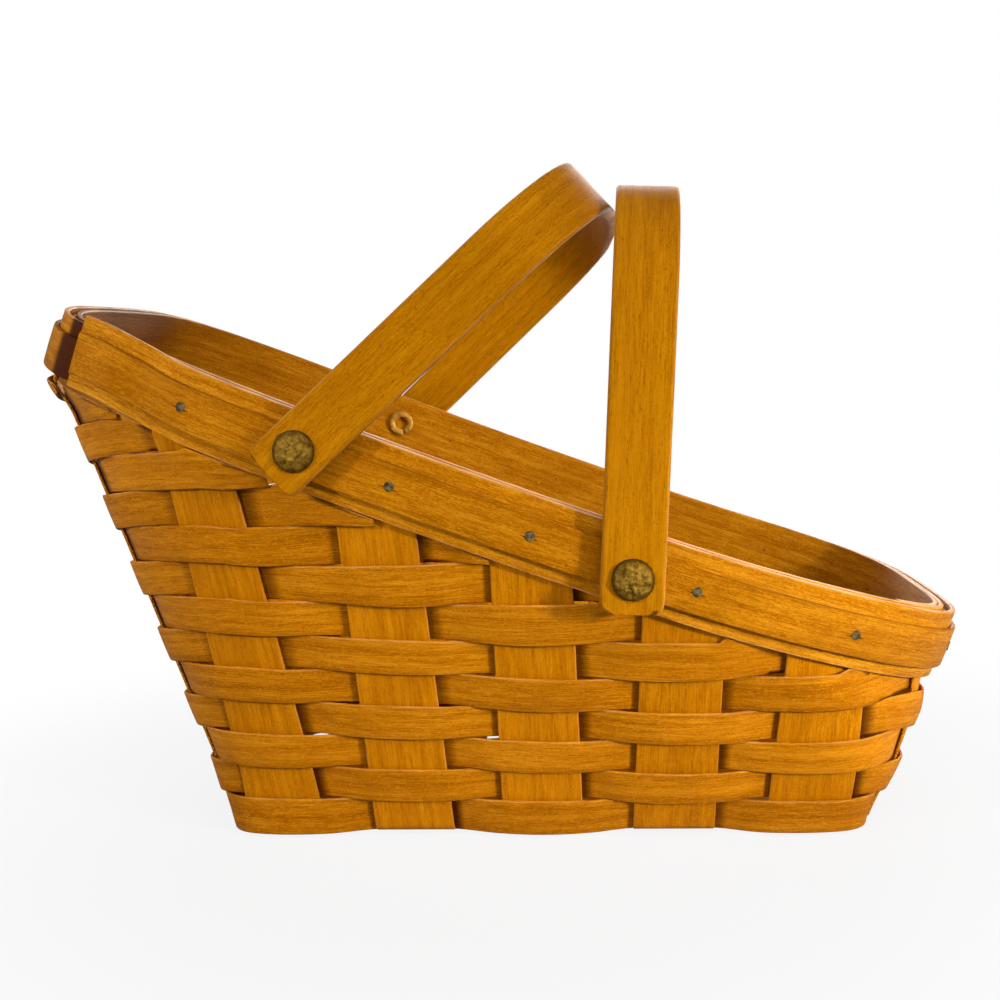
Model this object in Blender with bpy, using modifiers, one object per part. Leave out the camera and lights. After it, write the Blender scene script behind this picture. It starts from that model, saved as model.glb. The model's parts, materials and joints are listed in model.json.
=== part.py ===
# A splint-woven vegetable basket with a slanted rim and two bentwood swing handles.
# X runs along the basket, tall end at -X. Y runs across it. The floor stands on Z = 0.
import math

import bmesh
import bpy
import numpy as np
from mathutils import Vector

# Driving dimensions in metres: floor and rim outlines
BASE_HALF_LENGTH = 0.1217
BASE_HALF_WIDTH = 0.0705
BASE_SQUARENESS = 16.0
RIM_HALF_LENGTH = 0.1672
RIM_TALL_HALF_WIDTH = 0.1164
RIM_SHORT_HALF_WIDTH = 0.1023
RIM_SQUARENESS = 3.65
RIM_MIDDLE_HEIGHT = 0.1424
RIM_SLOPE = math.radians(21.15)
RIM_SAG = 0.0044
RIM_LEAN = math.radians(4)

# How far the floor's middle lies from the rim's middle, toward the short end
FLOOR_AHEAD = 0.0103

# Uprights: flat stakes that cross under the basket and climb both walls
STAKE_WIDTH = 0.0302
STAKE_THICKNESS = 0.0012
CROSS_STAKE_COUNT = 5
LENGTH_STAKE_COUNT = 3
STAKE_TO_BASE_END = 0.0094
STAKE_TO_BASE_SIDE = 0.0119
# Where the uprights meet the rim: how far the outer ones stand in from its ends and sides
TALL_STAKE_INSET = 0.06115
SHORT_STAKE_INSET = 0.05505
# and how far each cross stake stands off an even spacing between them
CROSS_STAKE_NUDGE = (0.0, 0.00975, 0.0081, 0.00525, 0.0)
TALL_CORNER_INSET = 0.0584
SHORT_CORNER_INSET = 0.0503
STAKE_TOP_DROP = 0.0025
FLOOR_BEND = 0.0018

# Weavers: thin strips woven round the uprights in rows
WEAVER_ROWS = 15
WEAVER_THICKNESS = 0.0011
ROW_GAP = 0.00035
TOP_ROW_HIDDEN = 0.0055
FIRST_ROW_RISE = 0.0021
WEAVER_BULGE = 0.0007
SHORTEST_WEAVER_END = 0.0025
CLOSED_ROW_SHARE = 0.8

# Rim strips: a band inside, a band outside and a narrow trim strip over it
BAND_WIDTH = 0.026
BAND_THICKNESS = 0.0019
BAND_ROOM = 0.0013
TRIM_WIDTH = 0.013
TRIM_THICKNESS = 0.0019
TRIM_DROP = 0.0063
KNEE_DROP = BAND_WIDTH + 0.0006
LAP_RAMP = 0.014
LAP_LEAD = 0.001
# Where the strips start and end, measured in from the rim's tall end or its corner at the short end
BAND_LAP_START = 0.040
BAND_LAP_END = 0.026
TRIM_LAP_START = 0.0165
TRIM_LAP_END = 0.0272
INNER_LAP_START = 0.029
INNER_LAP_END = 0.019

# Bentwood handles and the tubular rivets they swing on
HANDLE_WIDTH = 0.0217
HANDLE_THICKNESS = 0.0043
HANDLE_HEIGHT = 0.136
HANDLE_TAIL = 0.0118
HANDLE_BEND = 0.042
HANDLE_CROWN = 0.004
HANDLE_CORNER = 0.0045
HANDLE_EDGE_ROUND = 0.0008
LEFT_PIVOT_DROP = 0.0129
RIGHT_PIVOT_DROP = 0.0155
LEFT_PIVOT_X = -0.0659
RIGHT_PIVOT_X = 0.0457
RIGHT_LEAN = math.radians(3.3)
RIVET_HEAD_RADIUS = 0.0072
RIVET_HEAD_HEIGHT = 0.0032
RIVET_SHANK_RADIUS = 0.0041
RIVET_BORE_RADIUS = 0.0030
RIVET_ROLL_RADIUS = 0.0060
RIVET_ROLL_HEIGHT = 0.0018

# Nails through the rim, one at each upright
NAIL_HEAD_RADIUS = 0.0018
NAIL_HEAD_HEIGHT = 0.0004
NAIL_SHANK_RADIUS = 0.0007
NAIL_DROP = 0.0133
NEAR_NAIL_SHIFT = (0.0, 0.0065, 0.0, 0.004, 0.008)

CLEARANCE = 0.0003
HOLE_OVERRUN = 0.004
PLY_STEP = BAND_THICKNESS + CLEARANCE
RIM_STEP = max(BAND_THICKNESS, TRIM_THICKNESS) + CLEARANCE
BAND_OFFSET = BAND_ROOM + BAND_THICKNESS / 2
TRIM_OFFSET = BAND_ROOM + BAND_THICKNESS + CLEARANCE + TRIM_THICKNESS / 2
WEAVE_OFFSET = STAKE_THICKNESS / 2 + CLEARANCE + WEAVER_THICKNESS / 2
LOW_LEVEL = STAKE_THICKNESS / 2
HIGH_LEVEL = LOW_LEVEL + STAKE_THICKNESS + CLEARANCE

# Facets
OUTLINE_STEPS = 2880
CORNER_STEPS = 4
GAP_STEPS = 2
BEND_STEPS = 5
WALL_STEPS = 3
SIDE_SAMPLES = 60
RIVET_SIDES = 14
RIVET_HOLE_SIDES = 14
DOME_STEPS = 4
DOME_TURN = math.radians(84)
NAIL_SIDES = 6
NAIL_HOLE_SIDES = 6

# The reach over which directions are measured, along an outline and in units of q
ARC_REACH = 0.002
TURN_REACH = 0.08
NEAREST_STATION = 0.05
NEAREST_MARK = 0.0028
WELD_DISTANCE = 0.00005

# The uprights are numbered round the wall from the middle of the tall end, near side first.
# Each one spans three units of q: its left edge, its middle and its right edge.
STAKE_TOTAL = 2 * (CROSS_STAKE_COUNT + LENGTH_STAKE_COUNT)
ROUND = 3 * STAKE_TOTAL
CROSS_STAKE_PITCH = (BASE_HALF_LENGTH - STAKE_TO_BASE_END - STAKE_WIDTH / 2) / ((CROSS_STAKE_COUNT - 1) / 2)
LENGTH_STAKE_PITCH = (BASE_HALF_WIDTH - STAKE_TO_BASE_SIDE - STAKE_WIDTH / 2) / ((LENGTH_STAKE_COUNT - 1) / 2)
RIM_STAKE_PITCH = (2 * RIM_HALF_LENGTH - TALL_STAKE_INSET - SHORT_STAKE_INSET) / (CROSS_STAKE_COUNT - 1)
TALL_END_PITCH = RIM_TALL_HALF_WIDTH - TALL_CORNER_INSET
SHORT_END_PITCH = RIM_SHORT_HALF_WIDTH - SHORT_CORNER_INSET
FIRST_NEAR_STAKE = 2
FIRST_SHORT_STAKE = FIRST_NEAR_STAKE + CROSS_STAKE_COUNT
SHORT_MIDDLE_STAKE = STAKE_TOTAL // 2
STAKE_UNDER_RIGHT_RIVET = FIRST_NEAR_STAKE + 3
CORNER_AFTER = (1, FIRST_SHORT_STAKE - 1, SHORT_MIDDLE_STAKE + 1, STAKE_TOTAL - FIRST_NEAR_STAKE)

for old in list(bpy.data.objects):
    bpy.data.objects.remove(old, do_unlink=True)

parts = bpy.data.collections.new("vegetable_basket")
cutters = bpy.data.collections.new("cutters")
bpy.context.scene.collection.children.link(parts)
bpy.context.scene.collection.children.link(cutters)


def make_material(name, colour, roughness, metallic=0.0):
    material = bpy.data.materials.new(name)
    material.use_nodes = True
    shader = material.node_tree.nodes["Principled BSDF"]
    shader.inputs["Base Color"].default_value = (*colour, 1)
    shader.inputs["Roughness"].default_value = roughness
    shader.inputs["Metallic"].default_value = metallic
    material.diffuse_color = (*colour, 1)
    return material


STAKE_WOOD = make_material("stake_maple", (0.50, 0.21, 0.03), 0.5)
WEAVER_WOOD = make_material("weaver_maple", (0.56, 0.25, 0.04), 0.5)
RIM_WOOD = make_material("rim_maple", (0.54, 0.24, 0.045), 0.45)
HANDLE_WOOD = make_material("handle_maple", (0.50, 0.23, 0.035), 0.42)
RIVET_BRASS = make_material("antique_brass", (0.30, 0.19, 0.06), 0.42, 1)
NAIL_STEEL = make_material("nail_steel", (0.30, 0.30, 0.29), 0.4, 1)


def unit_outline(squareness):
    # A rounded square of half size 1, from the middle of the tall end round by the near side
    angle = np.linspace(-math.pi, math.pi, OUTLINE_STEPS + 1)
    across, along = np.abs(np.cos(angle)), np.abs(np.sin(angle))
    reach = (across ** squareness + along ** squareness) ** (-1 / squareness)
    return reach * np.cos(angle), reach * np.sin(angle)


def base_outline():
    u, v = unit_outline(BASE_SQUARENESS)
    level = np.full_like(u, (LOW_LEVEL + HIGH_LEVEL) / 2)
    return np.stack([FLOOR_AHEAD + BASE_HALF_LENGTH * u, BASE_HALF_WIDTH * v, level], -1)


def rim_outline():
    u, v = unit_outline(RIM_SQUARENESS)
    half_width = (RIM_TALL_HALF_WIDTH + RIM_SHORT_HALF_WIDTH) / 2
    half_width = half_width - u * (RIM_TALL_HALF_WIDTH - RIM_SHORT_HALF_WIDTH) / 2
    height = RIM_MIDDLE_HEIGHT - math.tan(RIM_SLOPE) * RIM_HALF_LENGTH * u - RIM_SAG * (1 - u * u)
    return np.stack([RIM_HALF_LENGTH * u, half_width * v, height], -1)


def arc_lengths(outline):
    steps = np.linalg.norm(np.diff(outline, axis=0), axis=1)
    return np.concatenate([[0.0], np.cumsum(steps)])


def unit(vectors):
    return vectors / np.linalg.norm(vectors, axis=-1, keepdims=True)


BASE = base_outline()
RIM = rim_outline()
BASE_ARC = arc_lengths(BASE)
RIM_ARC = arc_lengths(RIM)
BASE_ROUND = BASE_ARC[-1]
RIM_ROUND = RIM_ARC[-1]
QUARTER = OUTLINE_STEPS // 4


def along_near_side(outline, arcs, x):
    near = slice(0, 2 * QUARTER + 1)
    return float(np.interp(x, outline[near, 0], arcs[near]))


def along_tall_end(outline, arcs, y):
    # Arc length from the middle of the tall end to a place on its near half, y below zero
    near = slice(0, QUARTER + 1)
    return float(np.interp(-y, -outline[near, 1], arcs[near]))


def along_short_end(outline, arcs, y):
    end = slice(QUARTER, 3 * QUARTER + 1)
    return float(np.interp(y, outline[end, 1], arcs[end]))


def upright_arcs(outline, arcs, near_x, tall_pitch, short_pitch):
    # Arc length of each upright's middle, mirrored from the near half to the far half
    middle = [0.0, along_tall_end(outline, arcs, -tall_pitch)]
    middle += [along_near_side(outline, arcs, x) for x in near_x]
    middle += [along_short_end(outline, arcs, -short_pitch), arcs[-1] / 2]
    mirrored = [arcs[-1] - arc for arc in middle[SHORT_MIDDLE_STAKE - 1:0:-1]]
    return np.array(middle + mirrored)


def station_table(middles, around):
    table = []
    for middle in middles:
        table += [middle - STAKE_WIDTH / 2, middle, middle + STAKE_WIDTH / 2]
    return np.array(table + [table[0] + around])


CROSS_INDEX = range(CROSS_STAKE_COUNT)
CROSS_X = [FLOOR_AHEAD + (i - (CROSS_STAKE_COUNT - 1) / 2) * CROSS_STAKE_PITCH for i in CROSS_INDEX]
KNEE_SHIFT = math.sin(RIM_SLOPE) * KNEE_DROP
RIM_X = [TALL_STAKE_INSET - RIM_HALF_LENGTH + i * RIM_STAKE_PITCH + CROSS_STAKE_NUDGE[i] + KNEE_SHIFT
         for i in CROSS_INDEX]
BASE_MIDDLES = upright_arcs(BASE, BASE_ARC, CROSS_X, LENGTH_STAKE_PITCH, LENGTH_STAKE_PITCH)
RIM_MIDDLES = upright_arcs(RIM, RIM_ARC, RIM_X, TALL_END_PITCH, SHORT_END_PITCH)
BASE_TABLE = station_table(BASE_MIDDLES, BASE_ROUND)
RIM_TABLE = station_table(RIM_MIDDLES, RIM_ROUND)


def table_arc(q, table, around):
    turns = np.floor((q + 1) / ROUND)
    return np.interp(q - turns * ROUND, np.arange(-1, ROUND), table) + turns * around


def outline_point(arc, outline, arcs):
    wrapped = np.mod(arc, arcs[-1])
    return np.stack([np.interp(wrapped, arcs, outline[:, axis]) for axis in range(3)], -1)


def outline_tangent(arc, outline, arcs):
    ahead = outline_point(arc + ARC_REACH, outline, arcs)
    return unit(ahead - outline_point(arc - ARC_REACH, outline, arcs))


def band_direction(arc):
    # Up across the rim's width: square to its slope, leaning out along the two sides
    tangent = outline_tangent(arc, RIM, RIM_ARC)
    outward = unit(np.stack([tangent[..., 1], -tangent[..., 0], np.zeros_like(tangent[..., 0])], -1))
    up = np.zeros_like(tangent)
    up[..., 0] = math.sin(RIM_SLOPE)
    up[..., 2] = math.cos(RIM_SLOPE)
    up[..., 1] = math.tan(RIM_LEAN) * outward[..., 1]
    return up


def rim_point(arc, drop, offset=0.0):
    # A place on the rim: along it, down from its top edge and out from its middle surface
    arc, drop, offset = np.broadcast_arrays(np.asarray(arc, float), drop, offset)
    up = band_direction(arc)
    tangent = outline_tangent(arc, RIM, RIM_ARC)
    outward = unit(np.cross(tangent, up))
    place = outline_point(arc, RIM, RIM_ARC)
    return place - up * drop[..., None] + outward * offset[..., None]


def wall_foot(q):
    return outline_point(table_arc(q, BASE_TABLE, BASE_ROUND), BASE, BASE_ARC)


def wall_knee(q):
    return rim_point(table_arc(q, RIM_TABLE, RIM_ROUND), KNEE_DROP)


def wall_slope(q):
    return unit(wall_knee(q) - wall_foot(q))


def wall_slant(q):
    return np.linalg.norm(wall_knee(q) - wall_foot(q), axis=-1)


def wall_point(q, rise, offset=0.0):
    # A place on the ruled wall: round it, up its slant and out from its middle surface
    q, rise, offset = np.broadcast_arrays(np.asarray(q, float), rise, offset)
    slope = wall_slope(q)
    ahead = wall_foot(q + TURN_REACH) + wall_slope(q + TURN_REACH) * rise[..., None]
    behind = wall_foot(q - TURN_REACH) + wall_slope(q - TURN_REACH) * rise[..., None]
    outward = unit(np.cross(ahead - behind, slope))
    return wall_foot(q) + slope * rise[..., None] + outward * offset[..., None], outward, slope


def stations(first, last):
    # The places round the wall where strips get a cross section
    places = []
    for unit_start in range(math.floor(first), math.ceil(last)):
        stake = (unit_start - 1) // 3
        in_gap = unit_start % 3 == 1
        steps = 1
        if in_gap:
            steps = CORNER_STEPS if stake % STAKE_TOTAL in CORNER_AFTER else GAP_STEPS
        places += [unit_start + step / steps for step in range(steps)]
    places = [place for place in places if first < place < last]
    return np.array([first] + places + [last])


def weave_offset(q, row):
    # Outside one upright, inside the next, crossing over in the gap between them
    stake = np.round(q / 3)
    local = q - 3 * stake
    side = np.where((stake + row) % 2 == 1, 1.0, -1.0)
    over = WEAVE_OFFSET + WEAVER_BULGE * (1 - local ** 2)
    crossing = WEAVE_OFFSET * np.cos(math.pi * (np.abs(local) - 1))
    return side * np.where(np.abs(local) <= 1, over, crossing)


def room_below_band(q, offset):
    # How far up the slant a weaver can reach before its top edge meets the bands
    place, outward, slope = wall_point(q, wall_slant(q), offset)
    up = unit(band_direction(table_arc(q, RIM_TABLE, RIM_ROUND)))
    half = WEAVER_THICKNESS / 2
    lift = np.sum(outward * up, axis=-1)
    climb = np.sum(slope * up, axis=-1)
    highest = np.maximum((offset + half) * lift, (offset - half) * lift)
    spare = KNEE_DROP - BAND_WIDTH - CLEARANCE
    return wall_slant(q) - np.maximum(highest - spare, 0.0) / climb - CLEARANCE / 2


def sheet(grid, closed=False):
    # A grid of faces laid along rows of points
    rows, columns = grid.shape[:2]
    mesh = bmesh.new()
    bmesh.ops.create_grid(mesh, x_segments=rows - 1, y_segments=columns - 1, size=1)
    for vertex in list(mesh.verts):
        row = round((vertex.co.x + 1) / 2 * (rows - 1))
        column = round((vertex.co.y + 1) / 2 * (columns - 1))
        vertex.co = grid[row][column]
    if closed:
        bmesh.ops.remove_doubles(mesh, verts=mesh.verts, dist=WELD_DISTANCE)
    return mesh


def add_object(name, mesh, material, collection=parts):
    data = bpy.data.meshes.new(name)
    mesh.to_mesh(data)
    mesh.free()
    data.materials.append(material)
    thing = bpy.data.objects.new(name, data)
    collection.objects.link(thing)
    return thing


def solidify(thing, thickness):
    shell = thing.modifiers.new("thickness", "SOLIDIFY")
    shell.thickness = thickness
    shell.offset = 0
    shell.use_even_offset = True


def add_strip(name, grid, thickness, material, closed=False):
    thing = add_object(name, sheet(grid, closed), material)
    solidify(thing, thickness)
    return thing


def add_cutter(name, radius, sides, start, end):
    # A straight round hole from one point to another
    start, end = np.asarray(start), np.asarray(end)
    length = np.linalg.norm(end - start)
    corner = radius / math.cos(math.pi / sides)
    mesh = bmesh.new()
    bmesh.ops.create_cone(mesh, cap_ends=True, segments=sides, radius1=corner, radius2=corner, depth=length)
    cutter = add_object(name, mesh, NAIL_STEEL, cutters)
    cutter.location = (start + end) / 2
    cutter.rotation_mode = "QUATERNION"
    cutter.rotation_quaternion = turned_to(end - start)
    cutter.hide_render = True
    cutter.display_type = "WIRE"
    return cutter


def turned_to(direction):
    return Vector(direction).to_track_quat("Z", "Y")


def cut(thing, cutter):
    hole = thing.modifiers.new("hole", "BOOLEAN")
    hole.operation = "DIFFERENCE"
    hole.solver = "EXACT"
    hole.object = cutter


# The rows fill the tall end, where the rim hides the upper part of the last one
ROW_PITCH = float(wall_slant(0.0) - FIRST_ROW_RISE + TOP_ROW_HIDDEN) / WEAVER_ROWS
WEAVER_WIDTH = ROW_PITCH - ROW_GAP


def row_bottom(row):
    return FIRST_ROW_RISE + (row - 1) * ROW_PITCH


def room_for_row(q, row):
    # How wide a row can be at each place before the rim cuts it off
    return room_below_band(q, weave_offset(q, row)) - row_bottom(row)


def weaver_ends(row):
    # The stretch of wall, from the middle of the tall end both ways, where the rim leaves room for a row
    q = np.linspace(-ROUND / 2, ROUND / 2, 4 * ROUND + 1)
    room = room_for_row(q, row)
    if room.min() >= WEAVER_WIDTH * CLOSED_ROW_SHARE:
        return -1, ROUND - 1
    # A row that doesn't close ends at the short end's corners at the latest
    fits = (room >= SHORTEST_WEAVER_END) & (np.abs(q) <= 3 * FIRST_SHORT_STAKE - 1.5)
    blocked = np.flatnonzero(~fits)
    before, after = blocked[blocked < len(q) // 2].max(), blocked[blocked > len(q) // 2].min()
    return float(q[before + 1]), float(q[after - 1])


def weaver_grid(row, places):
    offset = weave_offset(places, row)
    bottom = np.full_like(places, row_bottom(row))
    top = bottom + np.minimum(WEAVER_WIDTH, room_for_row(places, row))
    edges = [wall_point(places, rise, offset)[0] for rise in (bottom, top)]
    return np.stack(edges, axis=1)


def with_clip_points(row, places):
    # One more cross section where the rim starts to cut into a row
    spare = room_for_row(places, row) - WEAVER_WIDTH
    extra = []
    for index in np.flatnonzero(np.diff(np.sign(spare)) != 0):
        share = spare[index] / (spare[index] - spare[index + 1])
        extra.append(places[index] + share * (places[index + 1] - places[index]))
    near = [place for place in extra if np.min(np.abs(places - place)) > NEAREST_STATION]
    return np.sort(np.concatenate([places, near]))


def add_weavers():
    for row in range(1, WEAVER_ROWS + 1):
        first, last = weaver_ends(row)
        grid = weaver_grid(row, with_clip_points(row, stations(first, last)))
        add_strip(f"weaver_{row:02d}", grid, WEAVER_THICKNESS, WEAVER_WOOD, last - first == ROUND)


def climb_wall(columns):
    # An upright's path from its top, between the bands, down to the bend above the floor
    q = np.array(columns, float)
    arc = table_arc(q, RIM_TABLE, RIM_ROUND)
    along = outline_tangent(arc, RIM, RIM_ARC)[:, 0] * math.tan(RIM_SLOPE)
    top_arc = arc - along * (KNEE_DROP - STAKE_TOP_DROP)
    top = rim_point(top_arc, STAKE_TOP_DROP)
    shares = np.linspace(1, 0, WALL_STEPS + 1)[1:-1]
    between = [wall_point(q, FLOOR_BEND + share * (wall_slant(q) - FLOOR_BEND))[0] for share in shares]
    return [top, wall_knee(q)] + between + [wall_point(q, FLOOR_BEND)[0]]


def floor_rows(axis, feet, crossings, levels):
    # Across the floor: over one stake and under the next
    start, end = feet
    low, high = start[:, axis].max() + FLOOR_BEND, end[:, axis].min() - FLOOR_BEND
    stops = [(low, levels[0])]
    for middle, level in zip(crossings, levels):
        stops += [(middle - STAKE_WIDTH / 2, level), (middle + STAKE_WIDTH / 2, level)]
    stops.append((high, levels[-1]))
    rows = []
    for place, level in stops:
        share = (place - low) / (high - low)
        row = start + (end - start) * share
        row[:, axis] = place
        row[:, 2] = level
        rows.append(row)
    return rows


def add_stake(name, uprights, axis, crossings, levels):
    # A stake crosses the floor along one axis, and uprights are its numbers on the two walls it climbs
    turn = 1 if axis == 0 else -1
    start_q = [3 * uprights[0] + side * turn for side in (1, 0, -1)]
    end_q = [3 * uprights[1] + side * turn for side in (-1, 0, 1)]
    feet = wall_foot(np.array(start_q, float)), wall_foot(np.array(end_q, float))
    rows = climb_wall(start_q) + floor_rows(axis, feet, crossings, levels)
    rows += climb_wall(end_q)[::-1]
    return add_strip(name, np.array(rows), STAKE_THICKNESS, STAKE_WOOD)


def floor_level(cross, length, is_cross):
    # The stakes of the floor take turns: a cross stake lies under where the two numbers add to even
    cross_is_low = (cross + length) % 2 == 0
    return LOW_LEVEL if cross_is_low == is_cross else HIGH_LEVEL


def add_stakes():
    length_y = [(j - (LENGTH_STAKE_COUNT - 1) / 2) * LENGTH_STAKE_PITCH for j in range(LENGTH_STAKE_COUNT)]
    stakes = {}
    for i in CROSS_INDEX:
        levels = [floor_level(i + 1, j + 1, True) for j in range(LENGTH_STAKE_COUNT)]
        near, far = FIRST_NEAR_STAKE + i, STAKE_TOTAL - FIRST_NEAR_STAKE - i
        stakes[near] = stakes[far] = add_stake(f"cross_stake_{i + 1}", (near, far), 1, length_y, levels)
    ends = ((1, SHORT_MIDDLE_STAKE - 1), (0, SHORT_MIDDLE_STAKE), (STAKE_TOTAL - 1, SHORT_MIDDLE_STAKE + 1))
    for j, (tall, short) in enumerate(ends):
        levels = [floor_level(i + 1, j + 1, False) for i in CROSS_INDEX]
        stakes[tall] = stakes[short] = add_stake(f"length_stake_{j + 1}", (tall, short), 0, CROSS_X, levels)
    return stakes


def lap_marks(start, end):
    # Where a strip that laps over its own start needs cross sections: both ends and the rise between
    ramp = [start + LAP_LEAD + LAP_RAMP * share for share in (0.0, 0.5, 1.0)]
    return [end, start, *ramp]


def strip_round_rim(name, lap, risen, marks, drops, offset, step, thickness):
    # A strip starts at lap[0], goes once round the rim and ends at lap[1], on top of its own start.
    # It has risen by one step where it comes round to the place risen.
    start, end = lap
    run = RIM_ROUND + start - end
    regular = table_arc(stations(-1, ROUND - 1), RIM_TABLE, RIM_ROUND)[:-1]
    regular = regular[[np.min(np.abs(marks - place)) > NEAREST_MARK for place in regular]]
    arcs = np.concatenate([regular, marks])
    travel = start - np.concatenate([arcs - RIM_ROUND, arcs, arcs + RIM_ROUND])
    travel = np.unique(np.round(travel[(travel > 0) & (travel < run)], 6))
    travel = np.concatenate([[0.0], travel, [run]])
    rise = np.clip((travel - (RIM_ROUND + start - risen)) / LAP_RAMP + 1, 0, 1)
    out = offset + step * rise
    rows = [rim_point(start - travel, drop, out) for drop in drops]
    return add_strip(name, np.stack(rows, axis=1), thickness, RIM_WOOD)


def add_rim():
    whole = (0.0, BAND_WIDTH)
    narrow = (TRIM_DROP, TRIM_DROP + TRIM_WIDTH)
    inner_lap = [along_short_end(RIM, RIM_ARC, RIM_SHORT_HALF_WIDTH - INNER_LAP_START),
                 along_short_end(RIM, RIM_ARC, INNER_LAP_END - RIM_SHORT_HALF_WIDTH)]
    outer_lap = [along_near_side(RIM, RIM_ARC, inset - RIM_HALF_LENGTH) for inset in (BAND_LAP_START, BAND_LAP_END)]
    trim_lap = [along_near_side(RIM, RIM_ARC, inset - RIM_HALF_LENGTH) for inset in (TRIM_LAP_START, TRIM_LAP_END)]
    inner = strip_round_rim("rim_inner_band", inner_lap, inner_lap[0] + LAP_LEAD, np.array(lap_marks(*inner_lap)),
                            whole, -BAND_OFFSET, -PLY_STEP, BAND_THICKNESS)
    # The trim has to rise with the band below it, so the two share their cross sections
    marks = np.array(lap_marks(*outer_lap) + trim_lap)
    risen = outer_lap[0] + LAP_LEAD
    outer = strip_round_rim("rim_outer_band", outer_lap, risen, marks, whole, BAND_OFFSET, PLY_STEP, BAND_THICKNESS)
    trim = strip_round_rim("rim_trim_strip", trim_lap, risen, marks, narrow, TRIM_OFFSET, RIM_STEP, TRIM_THICKNESS)
    return inner, outer, trim


def turned_solid(name, profile, sides, material):
    # A profile of radius and height turned about Z, from the top down its outer side
    mesh = bmesh.new()
    points = [mesh.verts.new((radius, 0, height)) for radius, height in profile]
    for first, second in zip(points, points[1:]):
        mesh.edges.new((first, second))
    thing = add_object(name, mesh, material)
    screw = thing.modifiers.new("turn", "SCREW")
    screw.steps = sides
    screw.render_steps = sides
    screw.use_merge_vertices = True
    screw.merge_threshold = WELD_DISTANCE
    screw.use_smooth_shade = True
    return thing


def nail_profile(reach):
    head, shank = NAIL_HEAD_RADIUS, NAIL_SHANK_RADIUS
    return [(0, NAIL_HEAD_HEIGHT), (head * 0.6, NAIL_HEAD_HEIGHT * 0.85), (head, 0),
            (shank, 0), (shank, -reach + shank), (0, -reach)]


def nail_arc(stake):
    shift = 0.0
    if FIRST_NEAR_STAKE <= stake < FIRST_SHORT_STAKE:
        shift = NEAR_NAIL_SHIFT[stake - FIRST_NEAR_STAKE]
    arc = RIM_MIDDLES[stake]
    along = float(outline_tangent(np.array(arc), RIM, RIM_ARC)[0]) * math.tan(RIM_SLOPE)
    return arc - along * (KNEE_DROP - NAIL_DROP) + shift


def add_nails(stakes, rim):
    trim_face = TRIM_OFFSET + TRIM_THICKNESS / 2 + CLEARANCE
    for stake in range(STAKE_TOTAL):
        inner_face = BAND_OFFSET + BAND_THICKNESS / 2
        if stake in (SHORT_MIDDLE_STAKE - 1, SHORT_MIDDLE_STAKE, SHORT_MIDDLE_STAKE + 1):
            inner_face += PLY_STEP
        arc = nail_arc(stake)
        head = rim_point(arc, NAIL_DROP, trim_face)
        tip = rim_point(arc, NAIL_DROP, -inner_face)
        outward = unit(head - tip)
        nail = turned_solid(f"nail_{stake + 1:02d}", nail_profile(trim_face + inner_face), NAIL_SIDES, NAIL_STEEL)
        nail.location = head
        nail.rotation_mode = "QUATERNION"
        nail.rotation_quaternion = turned_to(outward)
        past = outward * HOLE_OVERRUN
        cutter = add_cutter(f"nail_hole_{stake + 1:02d}", NAIL_SHANK_RADIUS + CLEARANCE, NAIL_HOLE_SIDES,
                            tip - past, head + past)
        for thing in (*rim, stakes[stake]):
            cut(thing, cutter)


def side_reach(first, last, drops, offset):
    # How far a face of the rim lies from the middle plane, between two places along the near side
    ends = [along_near_side(RIM, RIM_ARC, x) for x in (first, last)]
    arcs = np.linspace(*ends, SIDE_SAMPLES)
    return np.array([-rim_point(arcs, drop, offset)[:, 1] for drop in drops])


def outermost(first, last):
    # The widest that the band, the trim and its nail heads reach
    band = side_reach(first, last, (0.0,), BAND_OFFSET + BAND_THICKNESS / 2)
    trim = side_reach(first, last, (TRIM_DROP, TRIM_DROP + TRIM_WIDTH), TRIM_OFFSET + TRIM_THICKNESS / 2)
    return float(max(band.max(), trim.max())) + CLEARANCE + NAIL_HEAD_HEIGHT


def innermost(x, pivot_drop):
    # The nearest to the middle plane that the inner band comes where a rivet's rolled end turns on it
    middle = x + math.sin(RIM_SLOPE) * pivot_drop
    drops = (pivot_drop - RIVET_ROLL_RADIUS, pivot_drop + RIVET_ROLL_RADIUS)
    face = -BAND_OFFSET - BAND_THICKNESS / 2
    reach = side_reach(middle - RIVET_ROLL_RADIUS, middle + RIVET_ROLL_RADIUS, drops, face)
    return float(reach.min()) - CLEARANCE


def pivot_place(x, pivot_drop):
    # Where a handle's axis crosses the rim's middle surface on the near side
    arc = along_near_side(RIM, RIM_ARC, x + math.sin(RIM_SLOPE) * pivot_drop)
    return rim_point(arc, pivot_drop)


def handle_path(leg):
    # Half of the handle in its own plane, from the near leg's lower end up to the middle of the crown
    radius = HANDLE_BEND - HANDLE_THICKNESS / 2
    top = HANDLE_HEIGHT - HANDLE_THICKNESS / 2
    shoulder = top - HANDLE_CROWN - radius
    halfway = HANDLE_CORNER * (1 - math.sqrt(0.5))
    tail = [(-HANDLE_TAIL, HANDLE_WIDTH / 2 - HANDLE_CORNER),
            (-HANDLE_TAIL + halfway, HANDLE_WIDTH / 2 - halfway),
            (-HANDLE_TAIL + HANDLE_CORNER, HANDLE_WIDTH / 2)]
    rows = [(-leg, height, half) for height, half in tail]
    for step in range(BEND_STEPS + 1):
        turn = math.pi / 2 * step / BEND_STEPS
        across = -leg + radius * (1 - math.cos(turn))
        rows.append((across, shoulder + radius * math.sin(turn), HANDLE_WIDTH / 2))
    for share in (0.5, 0.0):
        rows.append((-(leg - radius) * share, top - HANDLE_CROWN * share ** 2, HANDLE_WIDTH / 2))
    return rows


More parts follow.
